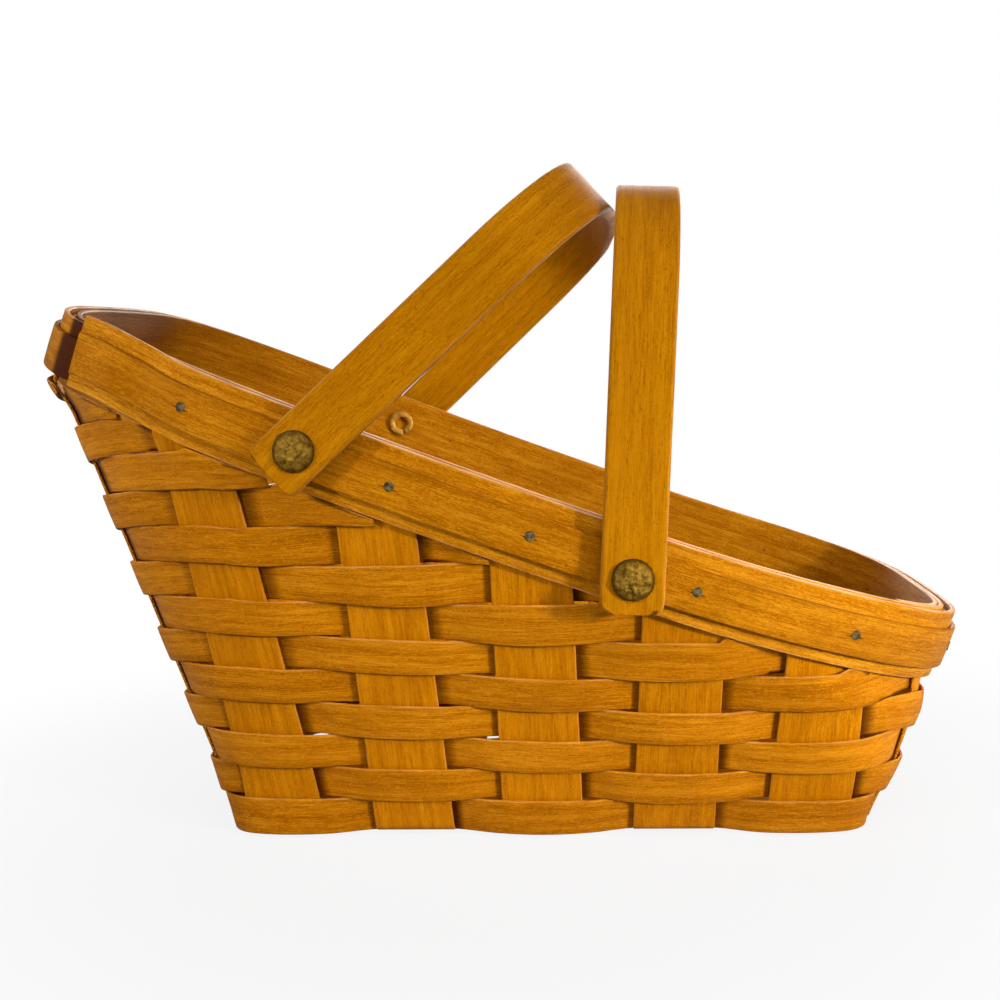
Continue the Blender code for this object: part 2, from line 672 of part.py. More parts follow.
def add_handle(name, pivot, lean, leg):
    half = handle_path(leg)
    rows = half + [(-across, height, width) for across, height, width in half[-2::-1]]
    grid = np.array([[(-width, across, height), (width, across, height)] for across, height, width in rows])
    handle = add_object(name, sheet(grid), HANDLE_WOOD)
    handle.location = pivot
    handle.rotation_euler = (0, lean, 0)
    solidify(handle, HANDLE_THICKNESS)
    edge = handle.modifiers.new("rounded_edges", "BEVEL")
    edge.width = HANDLE_EDGE_ROUND
    edge.segments = 1
    edge.limit_method = "ANGLE"
    edge.angle_limit = math.radians(50)
    return handle


def rivet_profile(reach):
    head, shank = RIVET_HEAD_RADIUS, RIVET_SHANK_RADIUS
    bore, roll, lip = RIVET_BORE_RADIUS, RIVET_ROLL_RADIUS, RIVET_ROLL_HEIGHT
    turns = np.linspace(0, DOME_TURN, DOME_STEPS)
    dome = [(head * math.sin(turn), RIVET_HEAD_HEIGHT * math.cos(turn)) for turn in turns]
    rolled = [(shank, -reach), (roll * 0.85, -reach), (roll, -reach - lip * 0.5), (roll * 0.85, -reach - lip),
              ((roll + bore) / 2, -reach - lip), (bore, -reach - lip * 0.6)]
    return dome + [(head, 0), (shank, 0)] + rolled + [(bore, -HANDLE_THICKNESS / 2), (0, -HANDLE_THICKNESS / 2)]


def add_rivet(name, pivot_x, pivot_z, side, face, inside, handle, pierced):
    # side is -1 on the near side and 1 on the far side; face is the handle's outer face
    rivet = turned_solid(name, rivet_profile(face + CLEARANCE - inside), RIVET_SIDES, RIVET_BRASS)
    rivet.location = (pivot_x, side * (face + CLEARANCE), pivot_z)
    rivet.rotation_euler = (side * -math.pi / 2, 0, 0)
    start = (pivot_x, side * (inside - HOLE_OVERRUN), pivot_z)
    end = (pivot_x, side * (face + HOLE_OVERRUN), pivot_z)
    cutter = add_cutter(f"{name}_hole", RIVET_SHANK_RADIUS + CLEARANCE, RIVET_HOLE_SIDES, start, end)
    for thing in (handle, *pierced):
        cut(thing, cutter)


def lean_against(left, right):
    # The left handle's lean when its crown's edge stands one clearance off the right handle
    half, reach = HANDLE_WIDTH / 2, HANDLE_HEIGHT
    toward = np.array([math.cos(RIGHT_LEAN), -math.sin(RIGHT_LEAN)])
    apart = np.array([left[0] - right[0], left[2] - right[2]])
    span = -half - CLEARANCE - float(toward @ apart)
    return RIGHT_LEAN + math.asin(span / math.hypot(reach, half)) - math.atan2(half, reach)


def add_handles(stakes, rim):
    left = pivot_place(LEFT_PIVOT_X, LEFT_PIVOT_DROP)
    right = pivot_place(RIGHT_PIVOT_X, RIGHT_PIVOT_DROP)
    # Each leg passes outside the stretch of rim that it swings along
    left_reach = outermost(-RIM_HALF_LENGTH, left[0] + HANDLE_TAIL)
    right_reach = outermost(right[0] - HANDLE_TAIL, RIM_HALF_LENGTH)
    lean = lean_against(left, right)
    plans = (("left", left, LEFT_PIVOT_DROP, lean, left_reach, ()),
             ("right", right, RIGHT_PIVOT_DROP, RIGHT_LEAN, right_reach, (stakes[STAKE_UNDER_RIGHT_RIVET],)))
    for word, pivot, drop, lean, reach, crossed in plans:
        leg = reach + CLEARANCE + HANDLE_THICKNESS / 2
        handle = add_handle(f"{word}_handle", (pivot[0], 0, pivot[2]), lean, leg)
        for place, side in (("near", -1), ("far", 1)):
            add_rivet(f"{word}_{place}_rivet", pivot[0], pivot[2], side, leg + HANDLE_THICKNESS / 2,
                      innermost(pivot[0], drop), handle, (*rim, *crossed))


def centre_on_floor():
    # The origin stands under the middle of the whole basket's box
    shapes = bpy.context.evaluated_depsgraph_get()
    reach = []
    for thing in parts.objects:
        solid = thing.evaluated_get(shapes)
        reach += [(thing.matrix_world @ Vector(corner)).x for corner in solid.bound_box]
    middle = (min(reach) + max(reach)) / 2
    for thing in (*parts.objects, *cutters.objects):
        thing.location.x -= middle
    bpy.context.view_layer.update()


stakes = add_stakes()
add_weavers()
rim = add_rim()
add_nails(stakes, rim)
add_handles(stakes, rim)
centre_on_floor()
for name in ("left_handle", "right_handle"):
    print(name, "axis at", [round(value, 5) for value in parts.objects[name].location])
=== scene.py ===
import json
import math

import bpy
import numpy as np
from mathutils import Matrix, Vector, noise


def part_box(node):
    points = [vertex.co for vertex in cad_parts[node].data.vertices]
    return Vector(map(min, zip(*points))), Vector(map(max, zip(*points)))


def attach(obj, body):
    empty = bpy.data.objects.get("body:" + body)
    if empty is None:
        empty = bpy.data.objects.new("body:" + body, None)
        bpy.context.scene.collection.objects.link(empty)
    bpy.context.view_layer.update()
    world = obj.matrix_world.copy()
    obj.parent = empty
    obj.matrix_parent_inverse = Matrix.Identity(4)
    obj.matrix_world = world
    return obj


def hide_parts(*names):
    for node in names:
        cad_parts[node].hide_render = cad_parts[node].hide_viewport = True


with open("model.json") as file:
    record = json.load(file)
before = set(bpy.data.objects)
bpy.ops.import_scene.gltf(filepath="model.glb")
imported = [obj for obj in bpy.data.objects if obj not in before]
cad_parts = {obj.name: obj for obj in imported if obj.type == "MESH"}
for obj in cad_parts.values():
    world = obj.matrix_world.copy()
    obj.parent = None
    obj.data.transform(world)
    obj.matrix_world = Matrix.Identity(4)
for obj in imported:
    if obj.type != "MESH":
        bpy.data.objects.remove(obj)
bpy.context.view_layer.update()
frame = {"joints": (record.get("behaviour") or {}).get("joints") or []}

rng = np.random.default_rng(11)
joints = {joint["name"]: joint for joint in frame["joints"]}

# Shape of the basket, in metres, before it is centred along X
basket = {
    "floorHalfLength": 0.1217, "floorHalfWidth": 0.0705, "floorSquareness": 16.0, "floorAhead": 0.0103,
    "rimHalfLength": 0.1672, "rimTallHalfWidth": 0.1164, "rimShortHalfWidth": 0.1023, "rimSquareness": 3.65,
    "rimHeight": 0.1424, "rimSlope": math.radians(21.15), "rimSag": 0.0044, "rimLean": math.radians(4),
    "stakeWidth": 0.0302, "stakeThickness": 0.0012, "crossPitch": 0.0486, "lengthPitch": 0.0435,
    "tallInset": 0.06115, "rimPitch": 0.05455, "nudges": (0.0, 0.00975, 0.0081, 0.00525, 0.0),
    "tallPitch": 0.058, "shortPitch": 0.052,
    "weaverThickness": 0.0011, "bandWidth": 0.026, "bandThickness": 0.0019, "bandRoom": 0.0013,
    "kneeRoom": 0.0006, "clearance": 0.0003, "leftPivotX": -0.0659, "shortEndLift": 0.0018,
    "liftAlong": (0.4, 0.55), "nearCornerDrop": 0.0020, "dropAlong": (0.75, 0.2), "dropAcross": (0.6, 1.2),
    # The wall is drawn in round the tall end and pushed out at the short end's corners, station by station
    "wallBow": 0.0022, "bowStops": (0.0, 2.0, 5.0, 8.0, 17.0, 19.0, 20.5, 24.0),
    "bowShares": (0.6, 1.0, 1.0, 0.0, 0.0, -1.3, -1.3, -0.3), "bowRise": 0.03, "bowEnd": 0.014,
}
kneeDrop = basket["bandWidth"] + basket["kneeRoom"]
lowLevel = basket["stakeThickness"] / 2
highLevel = lowLevel + basket["stakeThickness"] + basket["clearance"]
stakeTotal, roundTotal = 16, 48
shiftX = joints["left_handle_swing"]["pos_m"][0] - basket["leftPivotX"]


def unit(vectors):
    return vectors / np.linalg.norm(vectors, axis=-1, keepdims=True)


def smooth(share):
    share = np.clip(share, 0, 1)
    return share * share * (3 - 2 * share)


def signedTurn(place, around):
    return np.mod(place + around / 2, around) - around / 2


def roundedOutline(squareness, steps=5760):
    angle = np.linspace(-math.pi, math.pi, steps + 1)
    across, along = np.abs(np.cos(angle)), np.abs(np.sin(angle))
    reach = (across ** squareness + along ** squareness) ** (-1 / squareness)
    return reach * np.cos(angle), reach * np.sin(angle)


def floorOutline():
    u, v = roundedOutline(basket["floorSquareness"])
    x = basket["floorAhead"] + basket["floorHalfLength"] * u
    return np.stack([x, basket["floorHalfWidth"] * v, np.full_like(u, (lowLevel + highLevel) / 2)], -1)


def rimOutline():
    u, v = roundedOutline(basket["rimSquareness"])
    tall, short = basket["rimTallHalfWidth"], basket["rimShortHalfWidth"]
    halfWidth = (tall + short) / 2 - u * (tall - short) / 2
    height = basket["rimHeight"] - math.tan(basket["rimSlope"]) * basket["rimHalfLength"] * u
    (lifted, liftRun), (dropped, dropRun), (side, sideRun) = (basket[key] for key in (
        "liftAlong", "dropAlong", "dropAcross"))
    height += basket["shortEndLift"] * smooth((u - lifted) / liftRun)
    height -= basket["nearCornerDrop"] * smooth((-u - dropped) / dropRun) * smooth((side - v) / sideRun)
    return np.stack([basket["rimHalfLength"] * u, halfWidth * v, height - basket["rimSag"] * (1 - u * u)], -1)


def arcLengths(outline):
    return np.concatenate([[0.0], np.cumsum(np.linalg.norm(np.diff(outline, axis=0), axis=1))])


floorLine, rimLine = ((outline, arcLengths(outline)) for outline in (floorOutline(), rimOutline()))
floorRound, rimRound = floorLine[1][-1], rimLine[1][-1]
quarter = (len(rimLine[1]) - 1) // 4


def arcWhere(edge, axis, place, first, last):
    # Where an outline, from one of its quarters to another, passes a place on an axis
    outline, arcs = edge
    part = slice(first * quarter, last * quarter + 1)
    line = outline[part, axis]
    way = np.sign(line[-1] - line[0])
    return float(np.interp(place * way, line * way, arcs[part]))


def uprightArcs(edge, nearX, tallPitch, shortPitch):
    around = edge[1][-1]
    middle = [0.0, arcWhere(edge, 1, -tallPitch, 0, 1)] + [arcWhere(edge, 0, x, 0, 2) for x in nearX]
    middle += [arcWhere(edge, 1, -shortPitch, 1, 3), around / 2]
    return np.array(middle + [around - arc for arc in middle[7:0:-1]])


def stationTable(middles, around):
    half = basket["stakeWidth"] / 2
    table = np.stack([middles - half, middles, middles + half], -1).ravel()
    return np.append(table, table[0] + around)


crossX = [basket["floorAhead"] + (i - 2) * basket["crossPitch"] for i in range(5)]
kneeShift = math.sin(basket["rimSlope"]) * kneeDrop
rimX = [basket["tallInset"] - basket["rimHalfLength"] + i * basket["rimPitch"] + nudge + kneeShift
        for i, nudge in enumerate(basket["nudges"])]
floorMiddles = uprightArcs(floorLine, crossX, basket["lengthPitch"], basket["lengthPitch"])
rimMiddles = uprightArcs(rimLine, rimX, basket["tallPitch"], basket["shortPitch"])
floorTable = stationTable(floorMiddles, floorRound)
rimTable = stationTable(rimMiddles, rimRound)


def tableArc(q, table, around):
    turns = np.floor((q + 1) / roundTotal)
    return np.interp(q - turns * roundTotal, np.arange(-1, roundTotal), table) + turns * around


def outlinePoint(arc, edge):
    outline, arcs = edge
    wrapped = np.mod(arc, arcs[-1])
    return np.stack([np.interp(wrapped, arcs, outline[:, axis]) for axis in range(3)], -1)


def rimTangent(arc, reach=0.002):
    return unit(outlinePoint(arc + reach, rimLine) - outlinePoint(arc - reach, rimLine))


def arcAbove(arc, drop):
    # Where an upright that leaves the knee line at arc is, along the rim, higher up the band
    return arc - rimTangent(arc)[..., 0] * math.tan(basket["rimSlope"]) * (kneeDrop - drop)


def bandDirection(arc):
    tangent = rimTangent(arc)
    outward = unit(np.stack([tangent[..., 1], -tangent[..., 0], np.zeros_like(tangent[..., 0])], -1))
    up = np.zeros_like(tangent)
    up[..., 0] = math.sin(basket["rimSlope"])
    up[..., 2] = math.cos(basket["rimSlope"])
    up[..., 1] = math.tan(basket["rimLean"]) * outward[..., 1]
    return up


def rimPoint(arc, drop, offset=0.0):
    # A place on the rim: along it, down from its top edge, out from its middle surface
    arc, drop, offset = np.broadcast_arrays(np.asarray(arc, float), drop, offset)
    up = bandDirection(arc)
    outward = unit(np.cross(rimTangent(arc), up))
    return outlinePoint(arc, rimLine) - up * drop[..., None] + outward * offset[..., None]


def wallFoot(q):
    return outlinePoint(tableArc(q, floorTable, floorRound), floorLine)


def wallKnee(q):
    return rimPoint(tableArc(q, rimTable, rimRound), kneeDrop)


def wallSlant(q):
    return np.linalg.norm(wallKnee(q) - wallFoot(q), axis=-1)


def wallSlope(q):
    return unit(wallKnee(q) - wallFoot(q))


def wallBow(q, rise):
    share = np.interp(np.abs(signedTurn(q, roundTotal)), basket["bowStops"], basket["bowShares"])
    ends = smooth(rise / basket["bowRise"]) * smooth((wallSlant(q) - rise) / basket["bowEnd"])
    return basket["wallBow"] * share * ends


def wallPoint(q, rise, offset=0.0, reach=0.08):
    # A place on the wall: round it, up its slant, out from its middle surface
    q, rise, offset = np.broadcast_arrays(np.asarray(q, float), rise, offset)
    offset = offset - wallBow(q, rise)
    slope = wallSlope(q)
    ahead = wallFoot(q + reach) + wallSlope(q + reach) * rise[..., None]
    behind = wallFoot(q - reach) + wallSlope(q - reach) * rise[..., None]
    outward = unit(np.cross(ahead - behind, slope))
    return wallFoot(q) + slope * rise[..., None] + outward * offset[..., None], outward, slope


def roomBelowBand(q, offset):
    outward, slope = wallPoint(q, wallSlant(q), offset)[1:]
    up = unit(bandDirection(tableArc(q, rimTable, rimRound)))
    half = basket["weaverThickness"] / 2
    lift, climb = np.sum(outward * up, axis=-1), np.sum(slope * up, axis=-1)
    highest = np.maximum((offset + half) * lift, (offset - half) * lift)
    spare = kneeDrop - basket["bandWidth"] - basket["clearance"]
    return wallSlant(q) - np.maximum(highest - spare, 0.0) / climb - basket["clearance"] / 2


# Meshes

def addMesh(name, points, faces, marks, material, body):
    # Each mark has a value for each face corner: grain is the place in the wood, the second mark holds edge
    # nearness, painted shade and tone, and nail is how far off along the strip the nearest nail is
    mesh = bpy.data.meshes.new(name)
    mesh.from_pydata(np.asarray(points).tolist(), [], faces)
    for label, values in marks.items():
        kind, field = ("FLOAT", "value") if label == "nail" else ("FLOAT_VECTOR", "vector")
        layer = mesh.attributes.new(label, kind, "CORNER")
        layer.data.foreach_set(field, np.asarray(values, np.float32).ravel())
    mesh.materials.append(material)
    mesh.shade_smooth()
    mesh.update()
    piece = bpy.data.objects.new(name, mesh)
    bpy.context.scene.collection.objects.link(piece)
    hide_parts(name)
    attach(piece, body)
    return piece


def roundEdge(half, bend, turn=3):
    # Angles and levels of the places round one edge of a strip, from its outer face to its inner one
    angles = np.radians([*np.linspace(90, 0, turn + 1), *np.linspace(0, -90, turn + 1)])
    return zip(angles, np.repeat([half - bend, bend - half], turn + 1))


def withEnds(values):
    return np.concatenate([values[:1], values, values[-1:]])


def corners(values):
    near, far = values[:-1], values[1:]
    return np.stack([near, far, np.roll(far, -1, 1), np.roll(near, -1, 1)], 2).reshape(-1, values.shape[-1])


def thickStrip(name, sheet, thickness, bend, along, across, material, body, closed=False, paintedShade=0.0,
               tone=0.0, seed=0.0, nail=None, edgeReach=0.0012, chamfer=0.0002, lowerShade=0.0,
               lowerReach=0.0006):
    # Gives a sheet of places a thickness, round edges and, where it is open, cut ends
    n, k = sheet.shape[:2]
    sheet = sheet + np.array([shiftX, 0.0, 0.0])
    half = thickness / 2
    forward, sideways = np.gradient(sheet, axis=0), np.gradient(sheet, axis=1)
    if closed:
        forward = (np.roll(sheet, -1, 0) - np.roll(sheet, 1, 0)) / 2
    normal = unit(np.cross(forward, sideways))

    def faceColumn(j, side):
        facing = normal[:, j] * side
        return sheet[:, j] + normal[:, j] * half * side, facing, across[:, j], np.full(n, half * side)

    columns = [faceColumn(j, 1.0) for j in range(1, k - 1)]
    for j, sign in ((k - 1, 1.0), (0, -1.0)):
        out = unit(sideways[:, j]) * sign
        centre = sheet[:, j] - out * bend
        edge = []
        for angle, level in roundEdge(half, bend):
            direction = normal[:, j] * math.sin(angle) + out * math.cos(angle)
            edge.append((centre + normal[:, j] * level + direction * bend, direction,
                         across[:, j] - sign * (bend - bend * math.cos(angle)),
                         np.full(n, level + bend * math.sin(angle))))
        if sign > 0:
            columns += edge + [faceColumn(i, -1.0) for i in range(k - 2, 0, -1)]
        else:
            columns += edge[::-1]
    points, facing, crossPlace, through = (np.stack(part, 1) for part in zip(*columns))
    m = points.shape[1]
    lower, upper = across[:, :1], across[:, -1:]
    nearEdge = np.clip(1 - np.minimum(crossPlace - lower, upper - crossPlace) / edgeReach, 0, 1)
    # Painted light: lowerShade keeps the pale edge off the lower half and paints a dark band of shade along
    # the lower edge
    nearEdge = np.where(crossPlace < (lower + upper) / 2, nearEdge * (1 - lowerShade), nearEdge)
    lowerEdge = np.clip(1 - (crossPlace - lower) / lowerReach, 0, 1) * lowerShade
    # Painted shade, from the caller and along the lower edge, goes into the second mark
    shaded = np.maximum(np.reshape(paintedShade, (-1, 1)), lowerEdge)
    # The seed gives each strip its own place in the wood
    marks = {"grain": np.stack([np.repeat(along[:n, None], m, 1) + seed * 0.731, crossPlace + seed * 0.173,
                                through + seed * 0.057], -1),
             "wear": np.stack([nearEdge, shaded, np.full((n, m), tone)], -1)}
    if nail is not None:
        marks["nail"] = np.repeat(nail[:, None, None], m, 1)
    if closed:
        index = np.arange(n * m).reshape(n, m)
        index = np.concatenate([index, index[:1]])
        marks = {label: np.concatenate([values, values[:1]]) for label, values in marks.items()}
        marks["grain"][-1, :, 0] += along[n] - along[0]
    else:
        index = np.arange((n + 2) * m).reshape(n + 2, m)
        marks = {label: withEnds(values) for label, values in marks.items()}
        points = withEnds(points)
        for side, step in ((0, -1.0), (-1, 1.0)):
            points[side] += (unit(forward[side]).mean(0) * step - facing[side]) * chamfer
    faces = corners(index[..., None]).reshape(-1, 4).tolist()
    spread = {label: corners(values) for label, values in marks.items()}
    if not closed:
        faces += [index[0].tolist(), index[-1][::-1].tolist()]
        for label, values in marks.items():
            ends = np.concatenate([values[0], values[-1][::-1]])
            if label == "wear":
                ends[:, 0] = 2.0  # an edge above 1 is a cut end
            spread[label] = np.concatenate([spread[label], ends])
    return addMesh(name, points.reshape(-1, 3), faces, spread, material, body)


# Shader groups

def setInputs(tree, node, inputs):
    for key, value in inputs.items():
        if isinstance(value, bpy.types.NodeSocket):
            tree.links.new(value, node.inputs[key])
        else:
            node.inputs[key].default_value = value


def addNode(tree, kind, inputs=None, **settings):
    node = tree.nodes.new(kind)
    for key, value in settings.items():
        setattr(node, key, value)
    setInputs(tree, node, inputs or {})
    return node


def newGroup(name, inputs, outputs):
    tree = bpy.data.node_groups.new(name, "ShaderNodeTree")
    for way, sockets in (("INPUT", inputs), ("OUTPUT", outputs)):
        for kind, labels in sockets.items():
            for label in labels:
                tree.interface.new_socket(name=label, in_out=way, socket_type="NodeSocket" + kind)
    return tree, tree.nodes.new("NodeGroupInput").outputs, tree.nodes.new("NodeGroupOutput")


def maths(tree, operation, first, second=0.0, clamp=False):
    node = addNode(tree, "ShaderNodeMath", {0: first, 1: second}, operation=operation, use_clamp=clamp)
    return node.outputs[0]


def times(tree, first, second, clamp=False):
    return maths(tree, "MULTIPLY", first, second, clamp)


def blended(tree, first, firstShare, second, secondShare):
    return maths(tree, "ADD", times(tree, first, firstShare), times(tree, second, secondShare))


def remap(tree, value, low, high, newLow=0.0, newHigh=1.0):
    limits = {"Value": value, "From Min": low, "From Max": high, "To Min": newLow, "To Max": newHigh}
    return addNode(tree, "ShaderNodeMapRange", limits, interpolation_type="SMOOTHSTEP").outputs["Result"]


def noiseValue(tree, place, scale, detail, roughness, distortion=0.0):
    return addNode(tree, "ShaderNodeTexNoise", {
        "Vector": place, "Scale": scale, "Detail": detail, "Roughness": roughness,
        "Distortion": distortion}).outputs["Fac"]


def stretchedNoise(tree, place, along, across, detail, roughness, distortion=0.0):
    # along and across say how fine the noise is along the strip's grain and across it
    fineness = (along, across, across)
    moved = addNode(tree, "ShaderNodeVectorMath", {0: place, 1: fineness}, operation="MULTIPLY").outputs[0]
    return noiseValue(tree, moved, 1.0, detail, roughness, distortion)


def mixColour(tree, factor, first, second, blend="MIX"):
    # A colour mix has its factor in socket 0 and its colours in sockets 6 and 7
    return addNode(tree, "ShaderNodeMix", {0: factor, 6: first, 7: second}, data_type="RGBA",
                   blend_type=blend, clamp_factor=True).outputs[2]


def attribute(tree, label):
    return addNode(tree, "ShaderNodeAttribute", attribute_name=label).outputs


def splitVector(tree, vector):
    return addNode(tree, "ShaderNodeSeparateXYZ", {0: vector}).outputs


grainParts = ("Streaks", "Bands", "Flecks", "Pores", "Blotches")


def makeSplintGrain():
    tree, given, made = newGroup("splint grain", {"Vector": ("Place",), "Float": ("Fleck Scale",)},
                                 {"Float": (*grainParts, "Height")})
    place = given["Place"]
    fleckPlace = addNode(tree, "ShaderNodeVectorMath", {0: place, "Scale": given["Fleck Scale"]},
                         operation="SCALE").outputs[0]
    streaks = blended(tree, stretchedNoise(tree, place, 110.0, 2300.0, 5.0, 0.7), 0.7,
                      stretchedNoise(tree, place, 1100.0, 2600.0, 2.0, 0.6), 0.3)
    pores = remap(tree, stretchedNoise(tree, fleckPlace, 600.0, 3400.0, 1.0, 0.5), 0.62, 0.74)
    setInputs(tree, made, {
        "Streaks": streaks, "Bands": stretchedNoise(tree, place, 14.0, 420.0, 2.0, 0.5, 0.3),
        "Flecks": remap(tree, stretchedNoise(tree, fleckPlace, 620.0, 2500.0, 2.0, 0.5), 0.54, 0.68),
        "Pores": pores, "Blotches": stretchedNoise(tree, place, 30.0, 75.0, 3.0, 0.55),
        "Height": maths(tree, "SUBTRACT", times(tree, streaks, 0.7), times(tree, pores, 0.45))})
    return tree


def makeStain():
    tree, given, made = newGroup(
        "honey stain",
        {"Float": (*grainParts, "Tone", "Fleck Amount", "Pore Amount", "Blotch Amount"),
         "Color": ("Dark", "Middle", "Pale", "Pore Colour")}, {"Color": ("Colour",), "Float": ("Sheen",)})
    spread = blended(tree, given["Streaks"], 0.75, given["Bands"], 0.25)
    level = remap(tree, maths(tree, "ADD", spread, times(tree, given["Tone"], 0.02)), 0.34, 0.66)
    colour = mixColour(tree, times(tree, level, 2.0, True), given["Dark"], given["Middle"])
    upper = maths(tree, "SUBTRACT", times(tree, level, 2.0), 1.0, True)
    colour = mixColour(tree, upper, colour, given["Pale"])
    colour = mixColour(tree, times(tree, given["Flecks"], given["Fleck Amount"]), colour, given["Pale"])
    colour = mixColour(tree, times(tree, given["Pores"], given["Pore Amount"]), colour, given["Pore Colour"])
    patch = times(tree, remap(tree, given["Blotches"], 0.62, 0.38), given["Blotch Amount"])
    colour = mixColour(tree, patch, colour, given["Dark"])
    tone = maths(tree, "ADD", times(tree, given["Tone"], 0.05), 1.0)
    grey = addNode(tree, "ShaderNodeCombineColor", {"Red": tone, "Green": tone, "Blue": tone}).outputs[0]
    setInputs(tree, made, {"Colour": mixColour(tree, 1.0, colour, grey, "MULTIPLY"),
                           "Sheen": maths(tree, "ADD", times(tree, given["Streaks"], 0.6), -0.3)})
    return tree


def makeEdgeWearAndShade():
    tree, given, made = newGroup(
        "handled wear",
        {"Vector": ("Wear", "Place"), "Float": ("Edge Amount",),
         "Color": ("Colour", "Edge Colour", "Shade Colour", "Cut Colour")},
        {"Color": ("Colour",), "Float": ("Edges",)})
    # Edge colour is partly rubbed wear and partly painted light: a painted highlight on pale edges, painted
    # shade on dark ones
    parts = splitVector(tree, given["Wear"])
    rubbed = stretchedNoise(tree, given["Place"], 45.0, 300.0, 3.0, 0.6)
    edges = times(tree, remap(tree, parts[0], 0.35, 1.0), remap(tree, rubbed, 0.32, 0.62))
    colour = mixColour(tree, times(tree, edges, given["Edge Amount"]), given["Colour"], given["Edge Colour"])
    # The second part of the mark is painted shade, mixed in as Shade Colour
    colour = mixColour(tree, parts[1], colour, given["Shade Colour"])
    cut = maths(tree, "SUBTRACT", parts[0], 1.0, True)
    setInputs(tree, made, {"Colour": mixColour(tree, cut, colour, given["Cut Colour"]), "Edges": edges})
    return tree


splintGrain, honeyStain, edgeWearAndShade = makeSplintGrain(), makeStain(), makeEdgeWearAndShade()


def applyLook(node, look):
    # A look's names that are sockets of the node go into them
    for key, value in look.items():
        if key in node.inputs:
            node.inputs[key].default_value = value


def groupNode(tree, group, inputs, look):
    node = addNode(tree, "ShaderNodeGroup", inputs, node_tree=group)
    applyLook(node, look)
    return node.outputs


def newMaterial(name):
    material = bpy.data.materials.new(name)
    material.use_nodes = True
    return material, material.node_tree, material.node_tree.nodes["Principled BSDF"]


def bumpNormal(tree, height, strength, distance):
    return addNode(tree, "ShaderNodeBump", {"Height": height, "Strength": strength,
                                            "Distance": distance}).outputs["Normal"]


def woodMaterial(name, look):
    material, tree, shader = newMaterial(name)
    place, wear = attribute(tree, "grain")["Vector"], attribute(tree, "wear")["Vector"]
    grain = groupNode(tree, splintGrain, {"Place": place}, look)
    stained = {label: grain[label] for label in grainParts}
    stain = groupNode(tree, honeyStain, {**stained, "Tone": splitVector(tree, wear)[2]}, look)
    # Edge wear, painted highlight and painted shade, and cut ends
    wornAndShaded = groupNode(tree, edgeWearAndShade, {"Colour": stain["Colour"], "Wear": wear, "Place": place}, look)
    colour = wornAndShaded["Colour"]
    crack = look.get("nailCracks")
    if crack:
        colour = mixColour(tree, nailCrack(tree, place, crack), colour, crack["colour"])
    rough = maths(tree, "ADD", times(tree, stain["Sheen"], look["sheenSpread"]), look["roughness"])
    rough = maths(tree, "SUBTRACT", rough, times(tree, wornAndShaded["Edges"], look["edgePolish"]))
    applyLook(shader, look)
    setInputs(tree, shader, {"Base Color": colour, "Roughness": rough,
                             "Normal": bumpNormal(tree, grain["Height"], look["bump"], look["bumpDepth"])})
    return material


def nailCrack(tree, place, crack):
    # A thin dark split along the grain on both sides of each nail
    far = maths(tree, "ABSOLUTE", attribute(tree, "nail")["Fac"])
    across = splitVector(tree, place)[1]
    wander = stretchedNoise(tree, place, 260.0, 10.0, 2.0, 0.5)
    waver = times(tree, maths(tree, "SUBTRACT", wander, 0.5), crack["waver"])
    off = maths(tree, "ABSOLUTE", maths(tree, "ADD", maths(tree, "SUBTRACT", across, crack["across"]), waver))
    width = remap(tree, far, 0.0, crack["length"], crack["width"], 0.0)
    edge = remap(tree, maths(tree, "SUBTRACT", off, width), 0.0, crack["soft"])
    thin = maths(tree, "SUBTRACT", 1.0, edge, True)
    return times(tree, thin, remap(tree, far, crack["length"], crack["length"] * 0.7))


# Edge Colour paints pale edges, partly worn and partly a painted highlight; Shade Colour is the colour of
# painted shade
splintLook = {
    "Dark": (0.235, 0.065, 0.0004, 1), "Middle": (0.41, 0.130, 0.0008, 1), "Pale": (0.60, 0.235, 0.008, 1),
    "Pore Colour": (0.10, 0.022, 0.0, 1), "Fleck Scale": 1.0, "Fleck Amount": 0.60, "Pore Amount": 0.35,
    "Blotch Amount": 0.22, "Edge Colour": (0.60, 0.27, 0.06, 1), "Edge Amount": 0.55, "edgePolish": 0.06,
    "Shade Colour": (0.035, 0.003, 0.0, 1), "Cut Colour": (0.36, 0.13, 0.02, 1), "roughness": 0.55,
    "sheenSpread": 0.25, "Specular IOR Level": 0.14, "Specular Tint": (1.0, 0.45, 0.03, 1), "bump": 0.6,
    "bumpDepth": 0.0004}
rimLook = {
    **splintLook, "Middle": (0.40, 0.134, 0.0012, 1), "Pale": (0.62, 0.265, 0.014, 1), "Fleck Amount": 0.65,
    "Pore Amount": 0.45, "Blotch Amount": 0.30, "Edge Colour": (0.66, 0.34, 0.11, 1), "Edge Amount": 0.6,
    "Specular IOR Level": 0.18, "roughness": 0.5}
stakeWood = woodMaterial("stake maple", {
    **splintLook, "Dark": (0.30, 0.088, 0.0004, 1), "Middle": (0.47, 0.155, 0.0008, 1),
    "Pale": (0.60, 0.225, 0.004, 1), "Fleck Amount": 0.35, "Edge Amount": 0.30})
weaverWood = woodMaterial("weaver maple", splintLook)
rimWood = woodMaterial("rim maple", rimLook)
trimWood = woodMaterial("trim maple", {
    **rimLook, "Dark": (0.20, 0.056, 0.0004, 1), "Middle": (0.34, 0.110, 0.0008, 1),
    # The trim's edges are painted dark, as shade in the grooves along them
    "Pale": (0.53, 0.215, 0.008, 1), "Edge Colour": (0.16, 0.045, 0.001, 1),
    "nailCracks": {"across": 0.0005, "waver": 0.0005, "length": 0.0040, "width": 0.00022, "soft": 0.00012,
                   "colour": (0.02, 0.006, 0.002, 1)}})
